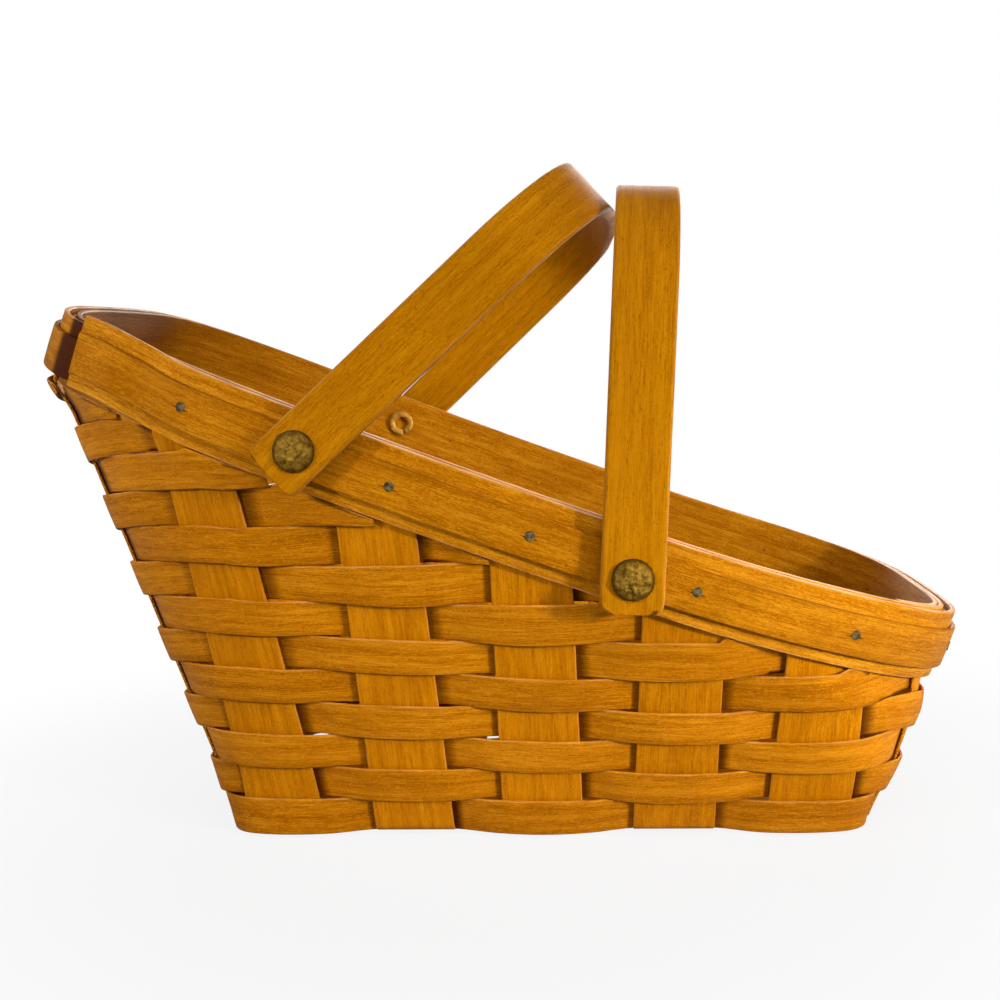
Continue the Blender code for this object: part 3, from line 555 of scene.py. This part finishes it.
handleWood = woodMaterial("handle maple", {
    **splintLook, "Dark": (0.24, 0.077, 0.0003, 1), "Middle": (0.365, 0.131, 0.0006, 1),
    "Pale": (0.47, 0.184, 0.003, 1), "Fleck Scale": 0.85, "Fleck Amount": 0.15, "Pore Amount": 0.55,
    "Edge Amount": 0.5, "roughness": 0.52, "Specular IOR Level": 0.16})


def makeDents():
    tree, given, made = newGroup("hammered face", {"Vector": ("Place",), "Float": ("Dent Scale",)},
                                 {"Float": ("Tarnish", "Rough", "Height")})
    dents = noiseValue(tree, given["Place"], given["Dent Scale"], 4.0, 0.65)
    grime = noiseValue(tree, given["Place"], 380.0, 3.0, 0.6)
    setInputs(tree, made, {"Tarnish": remap(tree, blended(tree, dents, 0.6, grime, 0.4), 0.34, 0.68),
                           "Rough": remap(tree, grime, 0.3, 0.7, 0.28, 0.55), "Height": dents})
    return tree


hammeredFace = makeDents()


def metalMaterial(name, look):
    material, tree, shader = newMaterial(name)
    face = groupNode(tree, hammeredFace, {"Place": attribute(tree, "grain")["Vector"]}, look)
    level = splitVector(tree, attribute(tree, "wear")["Vector"])[0]
    # Real tarnish, with painted shade darkening the dome towards its rim and a painted highlight on its top
    tarnishAndDomeShade = times(tree, face["Tarnish"], remap(tree, level, 0.0, look["shadedRim"]))
    applyLook(shader, look)
    setInputs(tree, shader, {"Base Color": mixColour(tree, tarnishAndDomeShade, look["dark"], look["bright"]),
                             "Roughness": face["Rough"],
                             "Normal": bumpNormal(tree, face["Height"], look["bump"], 0.0006)})
    return material


# shadedRim sets how far up the dome the painted shade reaches
rivetBrass = metalMaterial("antique brass", {
    "dark": (0.06, 0.024, 0.001, 1), "bright": (0.38, 0.215, 0.020, 1), "Dent Scale": 700.0, "Metallic": 0.5,
    "bump": 1.0, "Specular IOR Level": 0.1, "shadedRim": 1.05})
rolledBrass = metalMaterial("rolled brass", {
    "dark": (0.34, 0.14, 0.012, 1), "bright": (0.70, 0.39, 0.06, 1), "Dent Scale": 700.0, "Metallic": 0.4,
    "bump": 0.2, "Specular IOR Level": 0.2, "shadedRim": 0.0001})
nailSteel = metalMaterial("nail steel", {
    "dark": (0.025, 0.014, 0.003, 1), "bright": (0.17, 0.125, 0.050, 1), "Dent Scale": 900.0, "Metallic": 0.0,
    "bump": 0.5, "Specular IOR Level": 0.05, "shadedRim": 0.6})
print("materials ready")


# Uprights

stakes = {
    "edgeRound": 0.00045, "floorBend": 0.0018, "smoothings": 2, "topDrop": 0.0025, "bandSteps": 17,
    "wallSteps": 110, "floorStep": 0.0012, "columns": (-1.0, -0.95, -0.7, -0.35, 0.0, 0.35, 0.7, 0.95, 1.0)}


def climbWall(q):
    # From the top, between the bands, down to the bend above the floor
    top = rimPoint(arcAbove(tableArc(q, rimTable, rimRound), stakes["topDrop"]), stakes["topDrop"])
    shares = np.linspace(0, 1, stakes["bandSteps"] + 1)[:-1]
    rows = [top + (wallKnee(q) - top) * share for share in shares]
    bend, slant = stakes["floorBend"], wallSlant(q)
    shares = np.linspace(1, 0, stakes["wallSteps"])
    return rows + [wallPoint(q, bend + share * (slant - bend))[0] for share in shares]


def floorRows(axis, feet, crossings, levels):
    start, end = feet
    bend, half = stakes["floorBend"], basket["stakeWidth"] / 2
    low, high = start[:, axis].max() + bend, end[:, axis].min() - bend
    stops = [low] + [middle + side * half for middle in crossings for side in (-1, 1)] + [high]
    heights = [levels[0]] + [level for level in levels for side in (0, 1)] + [levels[-1]]
    rows = []
    for place in np.linspace(low, high, int((high - low) / stakes["floorStep"])):
        share = (place - low) / (high - low)
        row = start + (end - start) * share
        row[:, axis] = place
        k = int(np.clip(np.searchsorted(stops, place) - 1, 0, len(stops) - 2))
        t = smooth((place - stops[k]) / max(stops[k + 1] - stops[k], 1e-9))
        row[:, 2] = heights[k] + (heights[k + 1] - heights[k]) * t
        rows.append(row)
    return rows


def addStake(name, uprights, axis, crossings, levels, number):
    columns = np.array(stakes["columns"])
    startQ, endQ = 3 * uprights[0] + columns, 3 * uprights[1] - columns
    feet = wallFoot(startQ), wallFoot(endQ)
    sheet = np.array(climbWall(startQ) + floorRows(axis, feet, crossings, levels) + climbWall(endQ)[::-1])
    for _ in range(stakes["smoothings"]):
        sheet[1:-1] = (sheet[:-2] + 2 * sheet[1:-1] + sheet[2:]) / 4
    along = arcLengths(sheet[:, len(columns) // 2])
    across = np.repeat(columns[None] * basket["stakeWidth"] / 2, len(sheet), 0)
    thickStrip(name, sheet, basket["stakeThickness"], stakes["edgeRound"], along, across, stakeWood,
               "basket", tone=rng.uniform(-1, 1), seed=number + 1.0)


def addStakes():
    lengthY = [(j - 1) * basket["lengthPitch"] for j in range(3)]
    for i in range(5):
        levels = [lowLevel if (i + j) % 2 == 0 else highLevel for j in range(3)]
        addStake(f"cross_stake_{i + 1}", (2 + i, 14 - i), 1, lengthY, levels, i)
    for j, (tall, short) in enumerate(((1, 7), (0, 8), (15, 9))):
        levels = [highLevel if (i + j) % 2 == 0 else lowLevel for i in range(5)]
        addStake(f"length_stake_{j + 1}", (tall, short), 0, crossX, levels, 10 + j)


# Weavers

weavers = {
    "rows": 15, "closedRows": 5, "firstRise": 0.0021, "firstDrop": 0.0015, "topHidden": 0.0055,
    # lowerShade paints shade along each strip's lower edge and keeps its pale edge off it
    "gap": 0.00035, "edgeRound": 0.00042, "edgeReach": 0.0011, "lowerShade": 0.85, "crown": 0.00015,
    "bulge": 0.0007, "bulgeSpread": (-0.0003, 0.0005), "drift": 0.00030, "ease": 0.5, "pinch": 0.00002,
    "flare": 0.00045, "shortest": 0.0007, "topmost": 0.00168, "tuckUnder": 0.0008, "openUntil": 19.5,
    # Counted in stations from the middle of the tall end
    "climbStops": (0.0, 6.0, 18.5), "climb": (0.018, 0.067, -0.012), "crowding": 0.034,
    "crowdStops": (5.0, 7.0, 9.0, 13.0, 16.0, 18.5, 24.0),
    "crowdLift": (0.0003, 0.0025, 0.0048, 0.0050, 0.0035, 0.0010, 0.0),
    "pulls": ((4, (0.15, 0.26)), (43, (0.15, 0.26)), (19, (-0.10, -0.12)), (28, (-0.10, -0.12))),
    # Painted shade where a strip goes behind an upright, strongest beside the upright's right edge
    "shadeDepth": (0.55, 1.0), "shadeRight": (1.24, 0.15), "shadeLeft": (1.14, 0.08), "leftShare": 0.55,
    "columns": (-1.0, -0.93, -0.6, -0.2, 0.2, 0.6, 0.93, 1.0),
    "samples": (-1.5, -1.36, -1.24, -1.14, -1.07, -1.0, -0.85, -0.6, -0.3, 0.0, 0.3, 0.6, 0.85, 1.0, 1.07,
                1.14, 1.24, 1.36)}
rowPitch = float(wallSlant(0.0) - weavers["firstRise"] + weavers["topHidden"]) / weavers["rows"]
weaveOffset = basket["stakeThickness"] / 2 + basket["clearance"] + basket["weaverThickness"] / 2


def weave(q, row, bulges):
    stake = np.round(q / 3)
    local = q - 3 * stake
    side = np.where((stake + row) % 2 == 1, 1.0, -1.0)
    bulge = bulges[np.mod(stake.astype(int), stakeTotal)]
    over = weaveOffset + bulge * (1 - local ** 2)
    share = np.clip(np.abs(local) - 1, 0, 1)
    share += weavers["ease"] * (smooth(share) - share)
    return side * np.where(np.abs(local) <= 1, over, weaveOffset * (1 - 2 * share)), local


def rowFoot(q, row):
    # The rows climb toward the tall end, most of all at its corners, and crowd upward under the band
    away = np.abs(signedTurn(q, roundTotal))
    climb = np.interp(away, weavers["climbStops"], weavers["climb"])
    foot = weavers["firstRise"] + (row - 1) * rowPitch * (1 + climb)
    crowded = 1 - smooth((wallSlant(q) - foot) / weavers["crowding"])
    return foot + np.interp(away, weavers["crowdStops"], weavers["crowdLift"]) * crowded


def rowRoom(q, row, offset):
    return roomBelowBand(q, offset) - rowFoot(q, row)


def rowEnds(row, bulges):
    # Where a row starts and ends, and whether it goes right round
    q = np.linspace(-roundTotal / 2, roundTotal / 2, 8 * roundTotal + 1)
    room = rowRoom(q, row, weave(q, row, bulges)[0])
    if row <= weavers["closedRows"] and room.min() >= weavers["shortest"]:
        return -1.5, roundTotal - 1.5, True
    blocked = np.flatnonzero((room < weavers["shortest"]) | (np.abs(q) > weavers["openUntil"]))
    centre = len(q) // 2
    return q[blocked[blocked < centre].max() + 1], q[blocked[blocked > centre].min() - 1], False


def samplePlaces(first, last):
    cells = np.arange(math.floor(first / 3) - 1, math.ceil(last / 3) + 2)
    places = (3 * cells[:, None] + np.array(weavers["samples"])[None]).ravel()
    return np.concatenate([[first], places[(places > first + 0.02) & (places < last - 0.02)], [last]])


def pullCorners(sheet, q, rise, offset, row):
    # Between two uprights at a corner a splint runs straighter than the outline, or bulges if the share is
    # below 0
    turns = np.mod(q, roundTotal)
    for low, shares in weavers["pulls"]:
        at = np.flatnonzero((turns > low) & (turns < low + 1))
        if len(at):
            t = (turns[at] - low)[:, None, None]
            first, last = (wallPoint(np.full((len(at), 1), float(stop)), rise[at], offset[at])[0]
                           for stop in (low, low + 1))
            amount = shares[row % 2] * min(1.0, (row - 1) / 2)
            sheet[at] += (first * (1 - t) + last * t - sheet[at]) * amount


def addWeaver(row):
    bulges = weavers["bulge"] + rng.uniform(*weavers["bulgeSpread"], stakeTotal)
    lifts = rng.uniform(-1, 1, stakeTotal) * weavers["drift"]
    tone = rng.uniform(-1, 1)
    depths = rng.uniform(*weavers["shadeDepth"], stakeTotal)
    first, last, closed = rowEnds(row, bulges)
    q = samplePlaces(first, last)[:-1 if closed else None]
    offset, local = weave(q, row, bulges)
    stake = np.mod(np.round(q / 3).astype(int), stakeTotal)
    exposed = np.clip(np.cos(math.pi * local / 3), 0, 1)
    foot = rowFoot(q, row)
    width = rowFoot(q, row + 1) - foot - weavers["gap"]
    centreRise = foot + width / 2
    half = width / 2 - weavers["pinch"] + weavers["flare"] * exposed ** 0.7
    low, high = (centreRise + lifts[stake] * exposed + half * side for side in (-1, 1))
    limit = foot + rowRoom(q, row, offset) + weavers["tuckUnder"]
    above = np.minimum(rowRoom(q, row + 1, offset), rowRoom(q, row + 1, -offset))
    high = np.where(above < weavers["topmost"], limit, np.minimum(high, limit))
    if row == 1:
        low = foot - weavers["firstDrop"]
    columns = np.array(weavers["columns"])
    rise = (low + high)[:, None] / 2 + (high - low)[:, None] / 2 * columns[None]
    outward = offset[:, None] + weavers["crown"] * (1 - columns ** 2)[None] * np.sign(offset)[:, None]
    sheet = wallPoint(q[:, None], rise, outward)[0]
    pullCorners(sheet, q, rise, outward, row)
    middle = wallPoint(q, centreRise, offset)[0]
    along = arcLengths(np.concatenate([middle, middle[:1]]) if closed else middle)
    # Painted shade on the strip where it goes behind an upright, on both sides of it
    (right, rightRamp), (left, leftRamp) = weavers["shadeRight"], weavers["shadeLeft"]
    rightShade = smooth((right - local) / rightRamp) * (local > 0)
    leftShade = smooth((left + local) / leftRamp) * (local < 0) * weavers["leftShare"]
    behind = (offset < 0) & (np.abs(local) < 1.5)
    paintedShade = np.where(behind, np.maximum(rightShade, leftShade) * depths[stake], 0.0)
    thickStrip(f"weaver_{row:02d}", sheet, basket["weaverThickness"], weavers["edgeRound"], along,
               rise - centreRise[:, None], weaverWood, "basket", closed=closed, paintedShade=paintedShade,
               tone=tone, seed=20 + row * 1.7, edgeReach=weavers["edgeReach"],
               lowerShade=weavers["lowerShade"])


# Rim

rim = {
    "ramp": 0.014, "lead": 0.001, "bandLap": (0.040, 0.0275), "trimLap": (0.0325, 0.0290),
    "innerLap": (0.029, 0.019), "springAt": 0.0335, "springRamp": 0.020, "springLift": 0.0038,
    "liftRamp": 0.05, "trimWidth": 0.0153, "trimThickness": 0.0019, "trimDrop": 0.0059,
    "edgeRound": 0.0004, "crown": 0.00012, "spacing": 0.0018,
    # The outer band's hidden end is cut narrower, and painted with shade where the sprung end stands over it
    "bandCut": 0.40, "cutUntil": 0.100, "cutRamp": 0.035, "flapShade": 0.97, "flapUntil": 0.06,
    "flapReach": 0.0172, "flapRamp": 0.004, "innerShade": 0.50, "innerFrom": 0.08, "innerRamp": 0.12,
    "columns": (-1.0, -0.94, -0.6, -0.2, 0.2, 0.6, 0.94, 1.0),
    "nailDrop": 0.0133, "nearNailShift": (0.0, 0.0065, 0.0, 0.004, 0.008)}
bandOffset = basket["bandRoom"] + basket["bandThickness"] / 2
plyStep = basket["bandThickness"] + basket["clearance"]
trimFoot = basket["bandRoom"] + basket["bandThickness"] + basket["clearance"]
trimOffset = trimFoot + rim["trimThickness"] / 2


def nailArc(stake):
    shift = rim["nearNailShift"][stake - 2] if 2 <= stake < 7 else 0.0
    return float(arcAbove(rimMiddles[stake], rim["nailDrop"])) + shift


def insetArc(inset):
    # The place on the rim's near side that is this far in from the tall end
    return arcWhere(rimLine, 0, inset - basket["rimHalfLength"], 0, 2)


nailArcs = np.array([nailArc(stake) for stake in range(stakeTotal)])


def stripRoundRim(name, lap, risen, top, width, offset, thickness, material, tone, seed, sprung=None):
    start, end = lap
    run = rimRound + start - end
    travel = np.linspace(0, run, int(run / rim["spacing"]) + 1)
    arc = np.mod(start - travel, rimRound)
    rise = smooth((travel - (rimRound + start - risen)) / rim["ramp"] + 1)
    columns = np.array(rim["columns"])
    drop = top + (columns[None] + 1) * width / 2
    if sprung is None:
        # Painted shade on the inner band round the middle of the tall end
        away = np.minimum(arc, rimRound - arc) - rim["innerFrom"]
        shade = rim["innerShade"] * (1 - smooth(away / rim["innerRamp"]))
    else:
        ahead = travel - (rimRound + start - sprung)
        rise = rise + smooth(ahead / rim["springRamp"] + 1)
        if material is rimWood:
            cut = rim["bandCut"] * smooth((rim["cutUntil"] - travel) / rim["cutRamp"])
            drop = drop * (1 - cut)[:, None]
        drop = drop - (rim["springLift"] * smooth(ahead / rim["liftRamp"] + 1) ** 2)[:, None]
        # Painted shade under the sprung end of the outer band
        under = start - travel - insetArc(rim["bandLap"][1]) + rim["flapReach"]
        shade = np.where(travel < rim["flapUntil"], smooth(under / rim["flapRamp"]), 0.0)
        shade *= rim["flapShade"]
    out = offset + (plyStep if offset > 0 else -plyStep) * rise
    outward = out[:, None] + rim["crown"] * (1 - columns ** 2)[None]
    sheet = rimPoint((start - travel)[:, None], drop, outward)
    across = np.repeat((columns * width / 2)[None], len(travel), 0)
    gaps = signedTurn(arc[:, None] - nailArcs[None], rimRound)
    nearest = gaps[np.arange(len(arc)), np.abs(gaps).argmin(1)]
    thickStrip(name, sheet, thickness, rim["edgeRound"], travel, across, material, "basket",
               paintedShade=shade, tone=tone, seed=seed, nail=nearest, edgeReach=0.0013, chamfer=0.00025)


def addRim():
    width, thick, half = basket["bandWidth"], basket["bandThickness"], basket["rimShortHalfWidth"]
    first, last = rim["innerLap"]
    innerLap = [arcWhere(rimLine, 1, y, 1, 3) for y in (half - first, last - half)]
    outerLap, trimLap = ([insetArc(inset) for inset in rim[key]] for key in ("bandLap", "trimLap"))
    risen, sprung = outerLap[0] + rim["lead"], insetArc(rim["springAt"])
    stripRoundRim("rim_inner_band", innerLap, innerLap[0] + rim["lead"], 0.0, width, -bandOffset, thick,
                  rimWood, 0.2, 51.3)
    stripRoundRim("rim_outer_band", outerLap, risen, 0.0, width, bandOffset, thick, rimWood, -0.1, 57.9,
                  sprung)
    stripRoundRim("rim_trim_strip", trimLap, risen, rim["trimDrop"], rim["trimWidth"], trimOffset,
                  rim["trimThickness"], trimWood, 0.1, 0.0, sprung)


# Handles

handles = {
    "width": 0.0217, "thickness": 0.0043, "height": 0.1377, "tail": 0.0118, "bend": 0.042, "crown": 0.004,
    "edgeRound": 0.0012, "corner": {"left": 0.0022, "right": 0.0042}, "tone": {"left": 0.0, "right": 0.35},
    # The first three keys on the next line paint shade towards the top of the crown
    "gripShade": 0.06, "gripDrop": 0.045, "gripRamp": 0.03, "touchHeight": 0.136,
    "rightLean": math.radians(3.3),
    "nearTurn": {"left": math.radians(1.3), "right": math.radians(0.5)},
    "farTurn": {"left": math.radians(0.3), "right": math.radians(0.5)},
    "columns": (-1.0, -0.88, -0.6, -0.2, 0.2, 0.6, 0.88, 1.0)}


def handlePath(leg, corner):
    # Half of the handle in its own plane, from the lower end of a leg to the middle of the crown
    radius = handles["bend"] - handles["thickness"] / 2
    top = handles["height"] - handles["thickness"] / 2
    shoulder = top - handles["crown"] - radius
    half, tail = handles["width"] / 2, handles["tail"]
    rows = []
    for angle in np.radians(np.linspace(0, 90, 7)):
        rows.append((-leg, -tail + corner * (1 - math.cos(angle)), half - corner * (1 - math.sin(angle))))
    rows += [(-leg, height, half) for height in np.linspace(-tail + corner, shoulder, 60)[1:-1]]
    for angle in np.linspace(0, math.pi / 2, 30):
        rows.append((-leg + radius * (1 - math.cos(angle)), shoulder + radius * math.sin(angle), half))
    for share in np.linspace(1, 0, 30)[1:]:
        rows.append((-(leg - radius) * share, top - handles["crown"] * share ** 2, half))
    return rows


def legPlane(word):
    # How far each leg's middle plane stands from the basket's
    low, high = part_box(f"{word}_handle")
    return (high.y - low.y) / 2 - handles["thickness"] / 2


def leanOf(word):
    # The right handle's lean is given, and the left one leans until its edge rests against the right one
    lean = handles["rightLean"]
    if word == "right":
        return lean
    left, right = (joints[f"{side}_handle_swing"]["pos_m"] for side in ("left", "right"))
    half, reach = handles["width"] / 2, handles["touchHeight"]
    apart = math.cos(lean) * (left[0] - right[0]) - math.sin(lean) * (left[2] - right[2])
    span = -half - basket["clearance"] - apart
    return lean + math.asin(span / math.hypot(reach, half)) - math.atan2(half, reach)


def addHandle(word, leg, seed):
    node = f"{word}_handle"
    pivot = joints[f"{word}_handle_swing"]["pos_m"]
    half = handlePath(leg, handles["corner"][word])
    rows = np.array(half + [(-y, z, width) for y, z, width in half[-2::-1]])
    columns = -np.array(handles["columns"])
    x = rows[:, 2:3] * columns[None]
    y, z = (np.repeat(rows[:, axis:axis + 1], len(columns), 1) for axis in (0, 1))
    near = (1 - y / leg) / 2
    lean = leanOf(word) + handles["nearTurn"][word] * near + handles["farTurn"][word] * (1 - near)
    sheet = np.stack([x * np.cos(lean) + z * np.sin(lean), y, -x * np.sin(lean) + z * np.cos(lean)], -1)
    sheet += np.array([pivot[0] - shiftX, 0.0, pivot[2]])
    # Painted shade, darker towards the top of the crown
    rise = rows[:, 1] - handles["height"] + handles["gripDrop"]
    crownPaintedShade = handles["gripShade"] * smooth(rise / handles["gripRamp"])
    thickStrip(node, sheet, handles["thickness"], handles["edgeRound"], arcLengths(rows[:, :2]), -x,
               handleWood, node, paintedShade=crownPaintedShade, tone=handles["tone"][word], seed=seed,
               edgeReach=0.0016, chamfer=0.0007)


# Rivets and nails

rivets = {
    "headRadius": 0.0072, "headHeight": 0.0032, "shank": 0.0041, "bore": 0.0030, "roll": 0.0060,
    "rollHeight": 0.0018, "sides": 72, "dent": 0.00048, "dentSize": 620.0, "notchAngle": math.radians(80),
    "notchWidth": 0.22}
nails = {
    "headRadius": 0.0018, "headHeight": 0.0004, "shank": 0.0007, "sides": 20, "dent": 0.000192,
    "dentSize": 900.0, "tipOut": 0.0002, "point": 0.0001,
    # Places on the head, as shares of its radius and its height
    "dome": ((0.0, 0.7), (0.45, 0.75), (0.8, 0.95), (0.95, 0.75), (1.0, 0.35))}


def turnedMesh(piece, profile, seed, notch=None):
    # Points and faces of a turned profile, its dome dented by noise; the axis is Z
    points, faces, rings, sides = [], [], [], piece["sides"]
    for radius, height in profile:
        start = len(points)
        if radius < 1e-7:
            points.append((0.0, 0.0, height))
        else:
            for angle in np.linspace(0, 2 * math.pi, sides, endpoint=False):
                h = height
                if notch and radius > notch["inner"] and height < notch["below"]:
                    h += notch["depth"] * max(0.0, 1 - abs(signedTurn(angle - notch["angle"], 2 * math.pi))
                                              / notch["width"])
                points.append((radius * math.cos(angle), radius * math.sin(angle), h))
        rings.append(range(start, len(points)))
    for upper, lower in zip(rings, rings[1:]):
        for i in range(sides):
            j = (i + 1) % sides
            face = [ring[turn % len(ring)] for ring, turn in ((upper, i), (lower, i), (lower, j), (upper, j))]
            faces.append(list(dict.fromkeys(face)))
    points = np.array(points)
    for point in points:
        if point[2] > 0:
            place = Vector(point * piece["dentSize"]) + Vector((seed, seed, seed))
            point[2] += piece["dent"] * noise.noise(place)
    return points, faces


def placeTurned(name, points, faces, rotation, location, material, seed, tall):
    flat = np.concatenate(faces)
    wear = np.zeros((len(flat), 3))
    # The first mark is how high on the dome, for the dome's painted shade
    wear[:, 0] = np.where(points[flat, 2] < -0.001, 1.0, points[flat, 2] / tall)  # how high on the dome
    marks = {"grain": points[flat] + seed * 0.013, "wear": wear}
    placed = points @ np.array(rotation).T + np.array(location)
    return addMesh(name, placed, faces, marks, material, "basket")


def addRivet(name, word, side, face, reach, seed):
    pivot = joints[f"{word}_handle_swing"]["pos_m"]
    head, shank, bore, roll = (rivets[key] for key in ("headRadius", "shank", "bore", "roll"))
    lip, tall = rivets["rollHeight"], rivets["headHeight"]
    profile = [(head * math.sin(turn), tall * math.cos(turn)) for turn in np.radians(np.linspace(0, 84, 22))]
    profile += [(head, 0.00012), (head * 0.99, 0.0), (shank, 0.0), (shank, -reach)]
    middle, tube = (roll + bore) / 2, (roll - bore) / 2
    for turn in np.radians(np.linspace(60, -180, 17)):
        profile.append((middle + tube * math.cos(turn), -reach - lip / 2 + lip / 2 * math.sin(turn)))
    profile += [(bore, -reach + 0.001), (bore, -reach + 0.004), (0.0, -reach + 0.004)]
    notch = {"inner": bore * 1.05, "below": -reach - lip * 0.4, "depth": lip * 0.7,
             "angle": rivets["notchAngle"], "width": rivets["notchWidth"]}
    points, faces = turnedMesh(rivets, profile, seed, notch)
    rotation = Matrix.Rotation(-side * math.pi / 2, 3, "X")
    piece = placeTurned(name, points, faces, rotation, (pivot[0], side * face, pivot[2]), rivetBrass,
                        seed, tall)
    piece.data.materials.append(rolledBrass)
    for polygon in piece.data.polygons:
        if abs(polygon.center.y) < abs(face) - reach + 0.0005:
            polygon.material_index = 1


def addNail(stake):
    innerFace = bandOffset + basket["bandThickness"] / 2 + (plyStep if stake in (7, 8, 9) else 0.0)
    outerFace = trimOffset + rim["trimThickness"] / 2
    head, tip = (rimPoint(nailArcs[stake], rim["nailDrop"], face) + np.array([shiftX, 0.0, 0.0])
                 for face in (outerFace, -innerFace))
    radius, tall, shank, point = (nails[key] for key in ("headRadius", "headHeight", "shank", "point"))
    reach = float(np.linalg.norm(head - tip)) + nails["tipOut"]
    profile = [(radius * out, tall * up) for out, up in nails["dome"]]
    profile += [(radius * 0.97, -point), (shank, -point), (shank, -reach + shank * 0.8),
                (shank * 0.4, -reach - point), (0.0, -reach - point * 1.5)]
    points, faces = turnedMesh(nails, profile, stake * 3.1)
    rotation = Vector(unit(head - tip)).to_track_quat("Z", "Y").to_matrix()
    placeTurned(f"nail_{stake + 1:02d}", points, faces, rotation, head, nailSteel,
                stake + 0.5, tall)


addStakes()
print("uprights done")
for row in range(1, weavers["rows"] + 1):
    addWeaver(row)
print("weavers done")
addRim()
for stake in range(stakeTotal):
    addNail(stake)
print("rim done")
for number, word in enumerate(("left", "right")):
    leg = legPlane(word)
    addHandle(word, leg, 70.0 + number * 5.3)
    for place, side in (("near", -1), ("far", 1)):
        name = f"{word}_{place}_rivet"
        low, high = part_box(name)
        face = leg + handles["thickness"] / 2
        inside = min(abs(low.y), abs(high.y)) + rivets["rollHeight"]
        addRivet(name, word, side, face, face - inside, 3.0 + number * 2 + side)
print("handles done")


# Floor, light and camera

studio = {
    "floorHalf": 6.0, "floorColour": (0.50, 0.50, 0.50, 1), "fadeStart": 0.14, "fadeEnd": 0.36,
    "whiteShare": 0.86, "worldStrength": 0.19, "glossyShare": 0.05, "camera": (0.0460, -0.5567, 0.1745),
    "yaw": -0.0886, "pitch": 0.0964, "roll": -0.0343, "lens": 47.9,
    # A lamp's name, place, aim, size, spread in degrees and power
    "lamps": (("left", (-0.78, -0.74, 0.42), (-0.14, -0.11, 0.15), 0.12, 28, 0.185),
              ("right", (0.88, -0.66, 0.26), (0.16, -0.10, 0.10), 0.12, 28, 0.44),
              ("front top", (0.25, -0.85, 0.95), (0.0, -0.03, 0.15), 0.8, 180, 7.4),
              ("back", (0.15, 1.25, 0.60), (0.0, 0.0, 0.10), 1.0, 180, 19.0))}


def showMixed(tree, output, share, first, second):
    mixed = addNode(tree, "ShaderNodeMixShader", {0: share, 1: first.outputs[0], 2: second.outputs[0]})
    setInputs(tree, tree.nodes[output], {"Surface": mixed.outputs[0]})


def addFloor():
    data = bpy.data.meshes.new("floor")
    half = studio["floorHalf"]
    data.from_pydata([(-half, -half, 0.0), (half, -half, 0.0), (half, half, 0.0), (-half, half, 0.0)], [],
                     [range(4)])
    floor = bpy.data.objects.new("floor", data)
    bpy.context.scene.collection.objects.link(floor)
    floor.location.z = -0.0002
    material, tree, shader = newMaterial("pale floor")
    applyLook(shader, {"Base Color": studio["floorColour"], "Roughness": 0.9, "Specular IOR Level": 0.1})
    glow = addNode(tree, "ShaderNodeEmission", {"Color": (1, 1, 1, 1), "Strength": 1.0})
    place = addNode(tree, "ShaderNodeTexCoord").outputs["Object"]
    far = addNode(tree, "ShaderNodeVectorMath", {0: place}, operation="LENGTH").outputs["Value"]
    fade = remap(tree, far, studio["fadeStart"], studio["fadeEnd"], studio["whiteShare"], 1.0)
    seen = times(tree, fade, addNode(tree, "ShaderNodeLightPath").outputs["Is Camera Ray"])
    showMixed(tree, "Material Output", seen, shader, glow)
    data.materials.append(material)


def addWorld():
    world = bpy.data.worlds.new("studio")
    bpy.context.scene.world = world
    world.use_nodes = True
    tree = world.node_tree
    soft = tree.nodes["Background"]
    setInputs(tree, soft, {"Color": (1, 1, 1, 1), "Strength": studio["worldStrength"]})
    white = addNode(tree, "ShaderNodeBackground", {"Color": (1, 1, 1, 1), "Strength": 1.0})
    path = addNode(tree, "ShaderNodeLightPath").outputs
    gloss = times(tree, path["Is Glossy Ray"], studio["glossyShare"])
    seen = maths(tree, "MAXIMUM", path["Is Camera Ray"], gloss)
    showMixed(tree, "World Output", seen, soft, white)


def addLamps():
    for name, place, aim, size, spread, power in studio["lamps"]:
        data = bpy.data.lights.new(name, "AREA")
        data.size, data.energy, data.spread = size, power, math.radians(spread)
        light = bpy.data.objects.new(name, data)
        light.location = place
        light.rotation_mode = "QUATERNION"
        light.rotation_quaternion = (Vector(aim) - Vector(place)).to_track_quat("-Z", "Y")
        bpy.context.scene.collection.objects.link(light)


def addCamera():
    data = bpy.data.cameras.new("camera")
    data.lens = studio["lens"]
    camera = bpy.data.objects.new("camera", data)
    camera.matrix_world = Matrix.Translation(studio["camera"])
    for turn, axis in ((-studio["yaw"], "Z"), (math.pi / 2 - studio["pitch"], "X"), (studio["roll"], "Z")):
        camera.matrix_world = camera.matrix_world @ Matrix.Rotation(turn, 4, axis)
    bpy.context.scene.collection.objects.link(camera)
    bpy.context.scene.camera = camera


addFloor()
addWorld()
addLamps()
addCamera()
bpy.context.scene.view_settings.view_transform = "Standard"
print("studio done")
